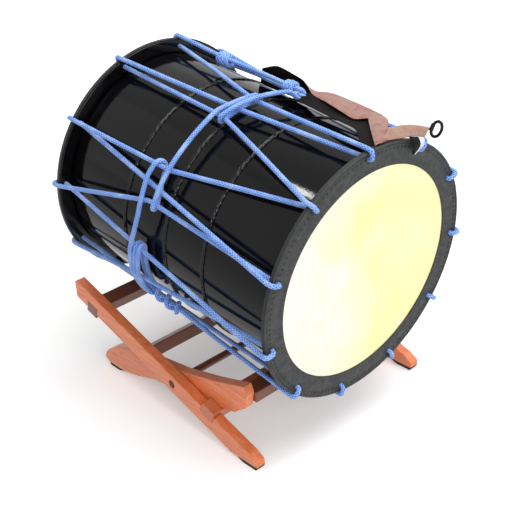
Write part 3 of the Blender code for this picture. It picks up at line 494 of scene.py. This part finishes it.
def stained_wood(name, along, tilt=0.0, darker=0.0):
    """Planed oak, stained orange red and varnished: long streaks of grain a few millimetres apart and short
    dark pores, under a satin film that lights the rounded edges. The share darker lays painted shade over it."""
    colours = bpy.context.scene.okedo_finishes
    material, tree, shader = finish(name, IOR=1.5, Coat_Weight=0.35, Coat_Roughness=0.22)
    place, pore_place = (
        object_place(tree, [stretch if axis == along else 1.0 for axis in "xyz"], (-tilt, 0, 0))
        for stretch in (0.06, 0.05))
    streak = add(tree, "TexNoise", {"Vector": place, "Scale": 150.0, "Detail": 6.0, "Distortion": 0.8})
    broad = add(tree, "TexNoise", {"Vector": place, "Scale": 28.0, "Detail": 3.0})
    pores = add(tree, "TexNoise", {"Vector": pore_place, "Scale": 700.0, "Detail": 2.0})
    tone = add(tree, "MapRange", (streak, 0.3, 0.72, 0.0, 1.0))
    body = add(tree, "MapRange", (broad, 0.35, 0.7, 0.0, 0.4))
    speck = add(tree, "MapRange", (pores, 0.62, 0.72, 0.0, 0.65))
    colour = colours.wood
    # The last layer, by the share darker, is painted shade for the pieces under the drum
    for share, layer in (
            (tone, colours.wood_grain), (body, colours.wood_deep), (speck, linear("#4A1C0C")),
            (darker, colours.shade)):
        colour = add(tree, "Mix", {"Factor": share, A: colour, B: layer}, data_type="RGBA")
    film = add(tree, "MapRange", (streak, 0.0, 1.0, 0.3, 0.52))
    rounded_edge = add(tree, "Bevel", {"Radius": 0.0016}, samples=6)
    depth = add(tree, "Math", (pores, streak), operation="ADD")
    relief = add(tree, "Bump", {"Height": depth, "Distance": 0.00025, "Normal": rounded_edge})
    connect(shader, {"Base Color": colour, "Roughness": film, "Normal": relief})
    return material


def painted_floor(name="painted_studio_floor"):
    """A studio floor painted a matt off-white, with a glow for the camera that fades it to white at a
    distance. Reflections see plain white."""
    material, tree, shader = finish(name, Base_Color=linear("#EDEDED"), Roughness=0.9)
    rays = add(tree, "LightPath").outputs
    away = add(tree, "VectorMath", (object_place(tree),), operation="LENGTH").outputs["Value"]
    rise = add(tree, "MapRange", (away, *FADE, 0.30, 1.0))
    glow = add(tree, "Emission", {"Color": (1, 1, 1), "Strength": rise})
    lit = add(tree, "AddShader", (shader, glow))
    seen = add(tree, "MixShader", (rays["Is Camera Ray"], shader, lit))
    white = add(tree, "Emission", {"Color": (1, 1, 1), "Strength": 1.0})
    mirrored = add(tree, "Math", (rays["Is Glossy Ray"], rays["Is Transmission Ray"]), operation="MAXIMUM")
    connect(tree.nodes["Material Output"], (add(tree, "MixShader", (mirrored, seen, white)),))
    return material


def studio_world():
    """Soft light from all round. The camera and reflections see it white."""
    world = bpy.data.worlds.new("studio")
    world.use_nodes = True
    tree = world.node_tree
    rays = add(tree, "LightPath").outputs
    soft = add(tree, "Background", {"Color": (1, 1, 1), "Strength": 0.45})
    white = add(tree, "Background", {"Color": (1, 1, 1), "Strength": 1.0})
    seen = add(tree, "Math", (rays["Is Camera Ray"], rays["Is Glossy Ray"]), operation="MAXIMUM")
    seen = add(tree, "Math", (seen, rays["Is Transmission Ray"]), operation="MAXIMUM")
    connect(tree.nodes["World Output"], (add(tree, "MixShader", (seen, soft, white)),))
    return world


def dress(piece, body, slot, material, *nodes):
    """Gives a piece its material or materials and its body, and hides the CAD nodes that it stands for. The
    slot is not used.
    """
    for each in material if isinstance(material, tuple) else (material,):
        piece.data.materials.append(each)
    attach(piece, body)
    if nodes:
        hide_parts(*nodes)


def redress(material, *nodes):
    """A CAD node keeps its shape and gets a better material."""
    for name in nodes:
        piece = frame["nodes"][name]
        piece.data.materials.clear()
        piece.data.materials.append(material)


# The drum's body

def shell_radius(station):
    """A slight bulge, falling off at each end along a quarter ellipse."""
    into = np.clip((SHELL_HALF - np.abs(station)) / SHELL_SHOULDER, 0, 1)
    rise = (SHELL_RADIUS - SHELL_END_RADIUS) * np.sqrt(np.clip(1 - (1 - into) ** 2, 0, 1))
    return SHELL_END_RADIUS + rise + SHELL_BULGE * (1 - (station / SHELL_HALF) ** 2)


def make_shell():
    """The barrel: the middle of each stave is a hair flatter, as a squared cosine, and its radius falls at
    every joint between staves, as a cosine to a high power."""
    sizes = bpy.context.scene.okedo_sizes
    outer = np.concatenate([
        np.linspace(-SHELL_HALF, -SHELL_HALF + SHELL_SHOULDER, 12)[:-1],
        np.linspace(-SHELL_HALF + SHELL_SHOULDER, SHELL_HALF - SHELL_SHOULDER, 24),
        np.linspace(SHELL_HALF - SHELL_SHOULDER, SHELL_HALF, 12)[1:]])
    inner = outer[::-4]
    station = np.r_[outer, inner][:, None]
    degrees = np.linspace(0, 360, 480, endpoint=False)[None]
    wall = np.r_[np.zeros(len(outer)), np.full(len(inner), SHELL_WALL)][:, None]
    stave = np.abs(np.cos(np.radians(degrees) * sizes.staves / 2))
    flat = np.where(wall > 0, 0, 0.00014 * stave ** 2 - 0.00012 * stave ** 60)
    radius = shell_radius(station) - wall + flat - 0.0001
    return surface("drum_shell", on_drum(radius, degrees, station), True, True)


def make_hoop(name, station):
    """A hoop of split bamboo twisted on itself: strands run round it as a slow helix, so the crown of the
    band swells and sinks along its length."""
    sizes = bpy.context.scene.okedo_sizes
    bore, half = SHELL_RADIUS + SHELL_BULGE + 0.0003, 0.0036
    swing, strand, third = 0.62, 0.42, 2.094
    degrees = np.linspace(0, 360, 900, endpoint=False)[None]
    twist = np.radians(degrees) * sizes.hoop_twists
    lie = np.linspace(-1, 1, 17)[:, None]
    strands = np.maximum.reduce([
        np.sqrt(np.clip(1 - ((lie - swing * np.sin(turn)) / strand) ** 2, 0, 1))
        * (0.72 + 0.28 * np.cos(turn)) for turn in (twist + k * third for k in range(3))])
    rise = 0.0004 + 0.0022 * np.maximum(strands, 0.25 * np.sqrt(np.clip(1 - lie ** 2, 0, 1)))
    rise[[0, -1]] = 0.0
    top = on_drum(bore + rise, degrees, station + lie * half)
    under = on_drum(np.full_like(rise[[0, -1]], bore - 0.0002), degrees, station + lie[[-1, 0]] * half)
    return surface(name + "_bamboo", np.concatenate([top, under]), True, True, sharp=50)


def make_skin(name, end):
    """The skin: flat but for a slight dish, a parabola, turned over the iron ring in quarter circles and
    lapped behind it."""
    face, back = FACE - BAND_THICKNESS - 0.0003, FACE - FLANGE_DEPTH
    rim, lap = FLANGE_RADIUS - BAND_THICKNESS - 0.0003, FLANGE_RADIUS - 0.0255
    wall, bend = 0.0012, 0.0015
    r = np.linspace(0, BAND_INNER_RADIUS + 0.004, 28)
    dish = -0.0005 * (1 - (r / 0.2) ** 2)
    corner = np.linspace(0, np.pi / 2, 6)
    sine, cosine = bend * np.sin(corner), bend * np.cos(corner)
    outline = np.array([
        *zip(r, face + dish), *zip(rim - bend + sine, face - bend + cosine),
        *zip(rim - bend + cosine, back + bend - sine), (lap, back), (lap, back + wall),
        (rim - wall, back + wall), (rim - wall, face - wall), (0, face - wall)])
    degrees = np.linspace(0, 360, 264, endpoint=False)
    piece = surface(name, on_drum(outline[:, :1], degrees[None], end * outline[:, 1:]), False, True)
    row = np.arange(len(piece.data.polygons)) // len(degrees)
    covered = row >= len(r) + len(corner) - 1
    piece.data.polygons.foreach_set("material_index", covered.astype(np.int32))
    return piece


def make_band(name, end, first_loop):
    """The leather band: a turned profile with a rolled outer edge, two rows of stitch dimples as a product
    of a bell across and a cosine around, and a slot at each loop as a sunken oval."""
    sizes = bpy.context.scene.okedo_sizes
    inner, outer = BAND_INNER_RADIUS, FLANGE_RADIUS
    r = np.concatenate([
        np.linspace(inner + 0.0008, outer - 0.0035, 30), np.linspace(outer - 0.0033, outer - 0.0006, 6)])
    bead = bell(r, outer - 0.0022, 0.0011) * 0.0009
    groove = bell(r, BAND_GROOVE_RADIUS, 0.0009) * 0.0005
    lip = bell(r, inner + 0.0030, 0.0009) * 0.0003
    top, side = FACE - BAND_CORNER, FACE - BAND_SIDE
    under, wall = FACE - BAND_THICKNESS, outer - BAND_THICKNESS
    rows = np.array([
        (inner, under), (inner, top), *zip(r, FACE + bead - groove - lip - 0.0006),
        (outer, top), (outer, side), (wall, side), (wall, under)])
    face = slice(2, -4)
    degrees = np.linspace(0, 360, 1056, endpoint=False)
    radius = rows[:, :1]
    height = np.repeat(rows[:, 1:], len(degrees), 1)
    stitch = np.cos(np.radians(degrees) * sizes.stitches)[None]
    for row, depth in ((OUTER_STITCH_RADIUS, 0.0014), (INNER_STITCH_RADIUS, 0.0007)):
        height[face] -= depth * bell(radius[face], row, 0.0013) * np.clip(stitch, 0, 1)
    pitch = (degrees[None] - first_loop + LOOP_PITCH / 2) % LOOP_PITCH - LOOP_PITCH / 2
    aside = np.radians(pitch) * LOOP_HOLE_RADIUS
    oval = (aside / SLOT_HALF_LENGTH) ** 2 + ((radius[face] - LOOP_HOLE_RADIUS) / SLOT_HALF_WIDTH) ** 2
    height[face] -= 0.0016 / (1 + np.clip(oval, 0, 40) ** 4)
    piece = surface(name, on_drum(radius, degrees[None], end * height), True, True, sharp=45)
    # Painted shade: the stitch holes, the inner edge, the groove, the side and the slots are drawn darker
    dark = bell(radius, OUTER_STITCH_RADIUS, 0.0028) * np.clip(2.6 * stitch - 0.4, 0, 1)
    dark = dark + 0.55 * bell(radius, INNER_STITCH_RADIUS, 0.0042) * np.clip(stitch, 0, 1) ** 2
    dark = dark + bell(radius, inner, 0.0012) + 0.8 * bell(radius, BAND_GROOVE_RADIUS, 0.0008)
    dark = dark + (radius > outer - 0.0003)
    dark[face] += 0.9 / (1 + np.clip(oval / 1.2, 0, 40) ** 4)
    layer = piece.data.attributes.new("painted_shade", "FLOAT", "POINT")
    layer.data.foreach_set("value", np.clip(dark, 0, 1).astype(np.float32).ravel())
    return piece


# Ropes

PULLED = {
    ("front", 0): (-0.010, -1.8), ("front", 1): (0.012, -6.0), ("front", 2): (0.030, 10.6),
    ("front", 3): (0.070, 3.0), ("front", 10): (-0.040, -3.9), ("rear", 0): (-0.008, 8.2),
    ("rear", 3): (0.060, 7.6), ("rear", 10): (-0.016, -8.6)}
PRESSED_STATIONS = (0.250, 0.215, 0.130, 0.0, -0.135, -0.168, -0.206, -0.240)
FREE_STATIONS = (0.140, 0.030, -0.110)


def loop_angle(end, number):
    """The angle of a loop of the front (-1) or the rear (1) head."""
    if end < 0:
        return FRONT_LOOP - number * LOOP_PITCH
    return REAR_LOOP - number * LOOP_PITCH + REAR_LOOP_SHIFTS.get(number, 0.0)


def strand_angle(kind, number, station):
    """A strand's angle, in a straight line between its loops but for the pull of the tension rope."""
    rear = loop_angle(1, number)
    front = loop_angle(-1, number if kind == "front" else number + 1)
    reach = FACE - FLANGE_DEPTH
    angle = front + (rear - front) * (station + reach) / (2 * reach)
    if (kind, number) in PULLED:
        place, pull = PULLED[(kind, number)]
        run = reach - place if station > place else reach + place
        angle += pull * max(0.0, 1 - abs(station - place) / run)
    aside = angle + 180
    if DRUM_RAIL_SPAN[0] < station < DRUM_RAIL_SPAN[1] and 0 < aside < BUNCH_REACH:
        # Over the drum rail, the strands on this side of the bottom lie closer together
        return BUNCH_TO - 180 + (aside - BUNCH_FROM) * BUNCH_SHARE
    return angle


def loop_points(end, degrees):
    """The rope over one flange: up its outer side, round a quarter circle, across and down into its hole."""
    side = FLANGE_RADIUS + ROPE_SEAT
    turn = np.linspace(0, np.pi / 2, 5)
    first, second = side - LOOP_BEND, LOOP_HOLE_RADIUS + LOOP_BEND
    sine, cosine = LOOP_BEND * np.sin(turn), LOOP_BEND * np.cos(turn)
    radius = np.r_[side, first + cosine, second - sine, LOOP_HOLE_RADIUS]
    height = np.r_[FACE - 0.009, FACE + sine, FACE + cosine, FACE - 0.014]
    return list(polar(radius, degrees, end * height))


def rail_depth(station):
    """How far below the drum's axis the rope may reach over the stand's rails. Along the drum's axis the
    rear rail's top slopes."""
    if station > REAR_RAIL_STATION:
        return REAR_RAIL_EDGE[1] + (REAR_RAIL_EDGE[0] - station) * REAR_RAIL_SLOPE
    if DRUM_RAIL_SPAN[0] < station < DRUM_RAIL_SPAN[1]:
        return SHELL_RADIUS + SHELL_BULGE + 0.0036
    return FLANGE_RADIUS + 0.008


def strand_at(kind, number, station):
    """A strand's angle and radius at a station."""
    first, last = ((-1, number), (1, number)) if kind == "front" else ((1, number), (-1, number + 1))
    start, goal = loop_points(first[0], loop_angle(*first))[-1], loop_points(last[0], loop_angle(*last))[0]
    straight = start + (station - start[1]) / (goal[1] - start[1]) * (goal - start)
    degrees = strand_angle(kind, number, station)
    radius = math.hypot(straight[0], straight[2])
    under = -math.cos(math.radians(degrees))
    if under > LOW_STRAND:
        radius = min(radius, (rail_depth(station) - ROPE_SEAT) / under)
    return degrees, max(radius, float(shell_radius(np.array(station))) + ROPE_SEAT)


def strand_points(kind, number):
    """The rope between two loops, at stations along the drum, pressed in over a rail."""
    low = -math.cos(math.radians(loop_angle(1, number))) > LOW_STRAND - 0.1
    stations = set(PRESSED_STATIONS if low else FREE_STATIONS)
    if (kind, number) in PULLED:
        stations = {PULLED[(kind, number)][0], *FREE_STATIONS[::2]}
    points = []
    for station in sorted(stations, reverse=kind == "rear"):
        degrees, radius = strand_at(kind, number, station)
        points.append(polar(radius, degrees, station))
    return points


def lacing_path():
    """The lacing's points: over a front loop, back along the shell, over a rear loop, and so on round."""
    points = []
    for number in range(LOOPS):
        points += loop_points(-1, loop_angle(-1, number)) + strand_points("front", number)
        points += loop_points(1, loop_angle(1, number)) + strand_points("rear", number)
    return points


def round_strand(kind, number, station, advance, start, halves=1):
    """Half turns round a strand as (station, angle, radius), from over it (0) or under it (180)."""
    steps = 5 * abs(halves)
    points = []
    for i in range(steps + 1):
        place = station + advance * i / steps
        turn = math.radians(start + halves * 180 * i / steps)
        degrees, radius = strand_at(kind, number, place)
        degrees = (degrees + 180) % 360 - 180
        aside = math.degrees(TURN_REACH / radius) * math.sin(turn)
        points.append((place, degrees - aside, radius + TURN_REACH * math.cos(turn)))
    return points


def leg(radius, *places):
    """Places of the tension rope that share a radius."""
    return [(station, angle, radius) for station, angle in places]


def tension_route():
    """The tension rope's (station, angle, radius) points, from its rear knot to its free end."""
    route = leg(OVER, (0.142, 12.6), (0.046, 14.4), (-0.026, 14.6))
    route += round_strand("front", 10, -0.036, -0.010, 0, -1)
    route += leg(STRAND_RADIUS, (-0.050, 12.5))
    route += leg(OVER, (-0.048, 8.5), (-0.041, 3.0), (-0.030, -5.4), (-0.022, -14.0))
    route += round_strand("rear", 0, -0.014, 0.008, 0)
    route += leg(UNDER, (-0.005, -14.0)) + round_strand("rear", 10, -0.006, -0.012, 180)
    route += leg(OVER, (-0.010, -14.0), (0.000, -21.0), (-0.001, -30.0))
    route += leg(OVER, (0.000, -40.0), (0.004, -52.0), (0.006, -60.0))
    route += round_strand("front", 2, 0.008, 0.010, 0)
    route += leg(UNDER, (0.024, -62.0)) + round_strand("front", 1, 0.030, 0.010, 180)
    route += leg(OVER, (0.043, -58.0), (0.040, -66.0), (0.038, -75.0))
    route += leg(OVER, (0.043, -83.0), (0.056, -93.0), (0.063, -105.0))
    for station in (0.0690, 0.0600):
        route += round_strand("rear", 3, station, -0.0045, 0)
        route += leg(UNDER, (station - 0.0110, -105.0))
        route += round_strand("rear", 2, station - 0.0180, -0.0045, 180)
        route += leg(OVER, (station - 0.0150, -105.0))
    return route + round_strand("rear", 3, 0.0510, -0.075, 0, 6)


def make_lacing():
    """The lacing is one closed cord."""
    path = from_drum(rounded(lacing_path(), 0.0016, 0.0024, True))
    return tube("lacing_cord", path, ROPE_RADIUS, 12, True, PLAIT_SWELL)


def make_tension():
    """The tension rope. Its route is filled in evenly round the drum before it is rounded."""
    route = np.array(tension_route())
    run = np.hypot(np.diff(route[:, 0]), STRAND_RADIUS * np.radians(np.diff(route[:, 1])))
    along = np.r_[0, np.cumsum(np.maximum(run, 0.002))]
    places = np.linspace(0, along[-1], 900)
    station, degrees, radius = (np.interp(places, along, column) for column in route.T)
    path = from_drum(rounded(polar(radius, degrees, station), 0.0022, 0.0020, False))
    return tube("tension_cord", path, ROPE_RADIUS, 14, False, PLAIT_SWELL)


# Strap and hook

def make_coil(name, span, degrees, radius, reach, turns):
    """A whipping: a helix round the cords it ties, its ends drawn in."""
    t = np.linspace(0, 1, 40 * turns)
    turn = 2 * np.pi * turns * t
    angle = math.radians(degrees)
    aside = np.array((math.cos(angle), 0, -math.sin(angle)))
    out = np.array((math.sin(angle), 0, math.cos(angle)))
    wide = reach * (1 - 0.25 * np.abs(2 * t - 1) ** 3)
    middle = radius * out + np.outer(span[0] + (span[1] - span[0]) * t, (0, 1, 0))
    path = middle + np.outer(1.25 * wide * np.cos(turn), aside) + np.outer(wide * np.sin(turn), out)
    return tube(name, from_drum(path), ROPE_RADIUS, 12, False, PLAIT_SWELL)


def make_strap():
    """The strap: it stands on its edge at the rear, turns over in front of the knot, lies on the ropes
    and swings down over the rim at its front end."""
    near = [
        (0.086, 23.5, 0.2440), (0.060, 24.0, 0.2570), (0.035, 23.5, 0.2590), (0.005, 23.0, 0.2575),
        (-0.020, 22.3, 0.2550), (-0.040, 21.3, 0.2480), (-0.060, 20.4, 0.2405), (-0.098, 18.5, 0.2390),
        (-0.150, 15.5, 0.2380), (-0.178, 14.5, 0.2385), (-0.192, 18.5, 0.2435), (-0.205, 15.5, 0.2445),
        (-0.240, 7.5, 0.2440), (-0.281, -1.0, 0.2430)]
    far = [
        (0.088, 26.0, 0.2165), (0.060, 26.5, 0.2165), (0.035, 27.0, 0.2170), (0.005, 28.5, 0.2185),
        (-0.020, 30.0, 0.2250), (-0.040, 30.0, 0.2390), (-0.060, 28.5, 0.2490), (-0.090, 28.0, 0.2535),
        (-0.140, 27.5, 0.2550), (-0.172, 26.5, 0.2545), (-0.197, 25.5, 0.2540), (-0.224, 21.5, 0.2530),
        (-0.250, 14.5, 0.2510), (-0.2835, 5.5, 0.2450)]
    return cloth("strap_band", near, far, 0.0024, 0.0012, 0.0010)


def make_strap_return_and_shade():
    """The strap's other ply, its black reverse outward, seen under the band and inside the fold. Its near
    edge reaches out from under the band past the real ply, a dark sheet drawn as painted shadow.
    """
    near = [
        (-0.046, 12.4, 0.2284), (-0.092, 11.4, 0.2296), (-0.126, 10.6, 0.2302), (-0.173, 8.1, 0.2345),
        (-0.209, 6.9, 0.2355), (-0.242, 0.5, 0.2360), (-0.268, -3.6, 0.2360)]
    far = [
        (-0.045, 22.8, 0.2448), (-0.090, 20.8, 0.2392), (-0.130, 18.8, 0.2362), (-0.162, 18.6, 0.2372),
        (-0.191, 21.0, 0.2412), (-0.236, 11.5, 0.2400), (-0.279, 2.0, 0.2400)]
    return cloth("strap_return_and_shade", near, far, 0.0020, -0.0012)


def make_tab():
    """The strap's end beside the rim, leading to the ring."""
    near = [
        (-0.2790, 3.5, 0.2430), (-0.2840, 10.0, 0.2440), (-0.2880, 18.5, 0.2465), (-0.2912, 25.75, 0.2490)]
    far = [
        (-0.2600, 11.5, 0.2540), (-0.2700, 17.5, 0.2600), (-0.2790, 23.5, 0.2640), (-0.2860, 28.1, 0.2655)]
    return cloth("tab_leather", near, far, 0.0034, 0.0004, 0.0006)


def make_clip(name, lining):
    """The clip's tongue over the band, and the pale lining that shows beside it."""
    shift = 2.2 * lining
    less = shift / 3
    near = [(-0.2905, 15.6 + shift, 0.2485), (-0.2960, 18.0 + shift, 0.2370), (-0.2905, 21.6 + less, 0.2190)]
    far = [(-0.2905, 25.0 + less, 0.2485), (-0.2960, 24.6 + less, 0.2370), (-0.2905, 22.8 + less, 0.2190)]
    return cloth(name, near, far, 0.0022, 0.0020)


def make_ring():
    """The wire hook's closed loop, an ellipse standing along the drum's axis."""
    middle = np.array(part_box("hook_ring")).mean(0)
    up = np.array(next(j["axis"] for j in frame["joints"] if j["name"] == "hook_swing"))
    along = from_drum((0, -1, 0)) - from_drum((0, 0, 0))
    half_length, half_height, wire = 0.0096, 0.0128, 0.0026
    t = np.linspace(0, 2 * np.pi, 72, endpoint=False)[:, None]
    path = middle + half_length * np.cos(t) * along + half_height * np.sin(t) * up
    return tube("ring_wire", path, wire, 12, True)


# The add-on

def tint(name, description, hex_code):
    """A colour property that starts from an sRGB value."""
    return FloatVectorProperty(name=name, description=description, subtype="COLOR", default=linear(hex_code))


class OkedoSizes(bpy.types.PropertyGroup):
    """Sizes and counts that a user would change."""

    staves: IntProperty(name="Staves", description="Staves round the barrel", default=30, min=8)
    hoop_twists: IntProperty(
        name="Hoop twists", description="Turns of the bamboo round each hoop", default=34, min=1)
    stitches: IntProperty(
        name="Stitches", description="Stitches round each leather band", default=146, min=12)


class OkedoFinishes(bpy.types.PropertyGroup):
    """Colours that a user would change."""

    lacquer: tint("Lacquer", "Shell and hoops", "#08080A")
    skin: tint("Skin", "Rawhide", "#FBF4C0")
    skin_shade: tint("Skin, clouds", "Darker clouds in the rawhide", "#F6EBA4")
    band: tint("Band", "Leather of the bands", "#2A2C2B")
    band_rubbed: tint("Band, rubbed", "Rubbed leather", "#3A3C3B")
    # The rope's crowns and valleys: painted light and painted shade on the plait
    rope: tint("Rope", "Crowns of the plait", "#86B2F6")
    rope_shade: tint("Rope, valleys", "Valleys of the plait", "#2F58B8")
    rope_worn: tint("Rope, worn", "Worn fibres", "#B9D2F8")
    suede: tint("Suede", "Suede side of the strap", "#8C6452")
    suede_red: tint("Suede, rubbed", "Red rubs in the suede", "#8A3A38")
    strap_reverse: tint("Strap reverse", "Smooth side of the strap", "#0C0808")
    wood: tint("Wood", "Stained wood", "#F4905A")
    wood_grain: tint("Wood, grain", "Darker streaks", "#DC6C38")
    # Painted shade: the rails under the drum are drawn darker with this colour
    shade: tint("Rails", "Darker stain of the rails", "#5C3424")
    wood_deep: tint("Wood, deep", "Broad darker bands", "#D0683A")


def set_up(name, data, right, up, back, place):
    """Puts a lamp or the camera in its place, facing away from its back axis."""
    obj = bpy.data.objects.new(name, data)
    bpy.context.scene.collection.objects.link(obj)
    turn = np.eye(4)
    turn[:3] = np.stack([right, up, back, place], 1)
    obj.matrix_world = Matrix(turn.tolist())
    return obj


class OKEDO_OT_stage(bpy.types.Operator):
    """Floor, lights, sky and the camera at the photograph's angle"""

    bl_idname = "okedo.stage"
    bl_label = "Stage"

    def execute(self, context):
        scene = context.scene
        scene.view_settings.view_transform = "Standard"
        scene.world = studio_world()
        reach = (-FLOOR_REACH, FLOOR_REACH)
        corners = np.stack(np.meshgrid(reach, reach, [0.0], indexing="ij"), -1)
        floor = surface("floor", corners.reshape(2, 2, 3))
        if floor.data.polygons[0].normal.z < 0:
            floor.data.flip_normals()
        floor.data.materials.append(painted_floor())
        for name, place, aim, side, watts in LAMPS:
            data = bpy.data.lights.new(name, "AREA")
            data.shape = "SQUARE"
            data.size = side
            data.energy = watts
            back = np.subtract(place, aim)
            back /= np.linalg.norm(back)
            right = np.cross((0, 0, 1.0), back)
            right /= np.linalg.norm(right)
            set_up(name, data, right, np.cross(back, right), back, place)
        data = bpy.data.cameras.new("camera")
        data.lens = LENS_MM
        data.sensor_width = SENSOR_MM
        scene.camera = set_up("camera", data, CAMERA_RIGHT, CAMERA_UP, CAMERA_BACK, CAMERA_PLACE)
        return {"FINISHED"}


class OKEDO_OT_shell(bpy.types.Operator):
    """The lacquered barrel and its bamboo hoops"""

    bl_idname = "okedo.shell"
    bl_label = "Shell and hoops"

    def execute(self, context):
        dress(make_shell(), "drum", "lacquer", lacquer(), "body_shell")
        wrapped = lacquer("urushi_lacquer_hoops", 0.32)
        for name, station in HOOP_STATIONS.items():
            dress(make_hoop(name, station), "drum", "lacquer", wrapped, name)
        return {"FINISHED"}


class OKEDO_OT_heads(bpy.types.Operator):
    """The two skins with their leather bands"""

    bl_idname = "okedo.heads"
    bl_label = "Heads"

    def execute(self, context):
        hide, rim, leather = rawhide(), lacquer("urushi_lacquer_rim", 0.3), band_leather()
        for label, end, first in (("front", -1, FRONT_LOOP), ("rear", 1, REAR_LOOP)):
            dress(make_skin("skin_" + label, end), "drum", "rawhide", (hide, rim), "head_" + label)
            band = make_band("leather_band_" + label, end, first)
            dress(band, "drum", "band_leather", leather, "band_" + label)
        redress(black_iron(), "head_ring_front", "head_ring_rear")
        return {"FINISHED"}


class OKEDO_OT_ropes(bpy.types.Operator):
    """The lacing and the rope that draws it tight"""

    bl_idname = "okedo.ropes"
    bl_label = "Ropes"

    def execute(self, context):
        material = plaited_rope()
        dress(make_lacing(), "drum", "rope", material, "lacing_rope")
        dress(make_tension(), "drum", "rope", material, "tension_rope")
        dress(make_coil("coil_rear", (0.156, 0.126), 13.9, 0.2410, 0.0098, 4), "drum", "rope", material)
        dress(make_coil("coil_fork", (-0.012, -0.034), 15.6, 0.2418, 0.0088, 3), "drum", "rope", material)
        return {"FINISHED"}


class OKEDO_OT_strap(bpy.types.Operator):
    """The carrying strap with its tab, hook and clip"""

    bl_idname = "okedo.strap"
    bl_label = "Strap and hook"

    def execute(self, context):
        brushed, worn, smooth = suede(), suede("calf_suede_worn", 0.34), smooth_leather()
        enamel = black_enamel()
        dress(make_strap(), "drum", "strap_suede", (brushed, smooth), "strap")
        # Partly the real black ply, partly a painted shadow under the strap's raised near edge
        dress(make_strap_return_and_shade(), "drum", "strap_suede", smooth)
        dress(make_tab(), "drum", "strap_suede", (worn, smooth), "strap_tab")
        dress(make_clip("clip_tongue", 0.0), "drum", "black_metal", enamel, "strap_clip")
        dress(make_clip("clip_lining", 1.0), "drum", "rawhide", white_felt())
        redress(enamel, "hook_keeper")
        dress(make_ring(), "hook", "black_metal", enamel, "hook_ring")
        return {"FINISHED"}


class OKEDO_OT_stand(bpy.types.Operator):
    """The folding wooden stand"""

    bl_idname = "okedo.stand"
    bl_label = "Stand"

    def execute(self, context):
        short_legs = stained_wood("oak_stained_short_legs", "y", SHORT_LEG_SLOPE)
        # The rails and the stop lie under the drum: their darker share is painted shade
        rails = stained_wood("oak_stained_rails_painted_shade", "x", darker=0.86)
        redress(stained_wood("oak_stained_long_legs", "y", LONG_LEG_SLOPE), "long_leg_left", "long_leg_right")
        redress(short_legs, "inner_leg_left", "inner_leg_right")
        redress(rails, "rear_rail", "drum_rail", "brace_rail", "pivot_dowel")
        redress(stained_wood("oak_stained_stop_painted_shade", "x", darker=0.35), "stop_rail")
        redress(bolt_steel(), "pivot_bolt_left", "pivot_bolt_right", "washer_left", "washer_right")
        redress(rubber(), "front_pad_left", "front_pad_right", "rear_pad_left", "rear_pad_right")
        return {"FINISHED"}


OPERATORS = (OKEDO_OT_stage, OKEDO_OT_shell, OKEDO_OT_heads, OKEDO_OT_ropes, OKEDO_OT_strap, OKEDO_OT_stand)


class OKEDO_PT_panel(bpy.types.Panel):
    """Shows the drum's sizes and colours, and a button for each step"""

    bl_idname = "OKEDO_PT_panel"
    bl_label = "Okedo drum"
    bl_space_type = "VIEW_3D"
    bl_region_type = "UI"
    bl_category = "Okedo"

    def draw(self, context):
        for group in (context.scene.okedo_sizes, context.scene.okedo_finishes):
            for name in group.bl_rna.properties.keys():
                if name not in ("rna_type", "name"):
                    self.layout.prop(group, name)
        for operator in OPERATORS:
            self.layout.operator(operator.bl_idname)


CLASSES = (OkedoSizes, OkedoFinishes, *OPERATORS, OKEDO_PT_panel)


def register():
    for each in CLASSES:
        bpy.utils.register_class(each)
    bpy.types.Scene.okedo_sizes = PointerProperty(type=OkedoSizes)
    bpy.types.Scene.okedo_finishes = PointerProperty(type=OkedoFinishes)


def unregister():
    del bpy.types.Scene.okedo_finishes
    del bpy.types.Scene.okedo_sizes
    for each in reversed(CLASSES):
        bpy.utils.unregister_class(each)


def main():
    register()
    for operator in OPERATORS:
        group, name = operator.bl_idname.split(".")
        getattr(getattr(bpy.ops, group), name)()


if __name__ == "__main__":
    main()
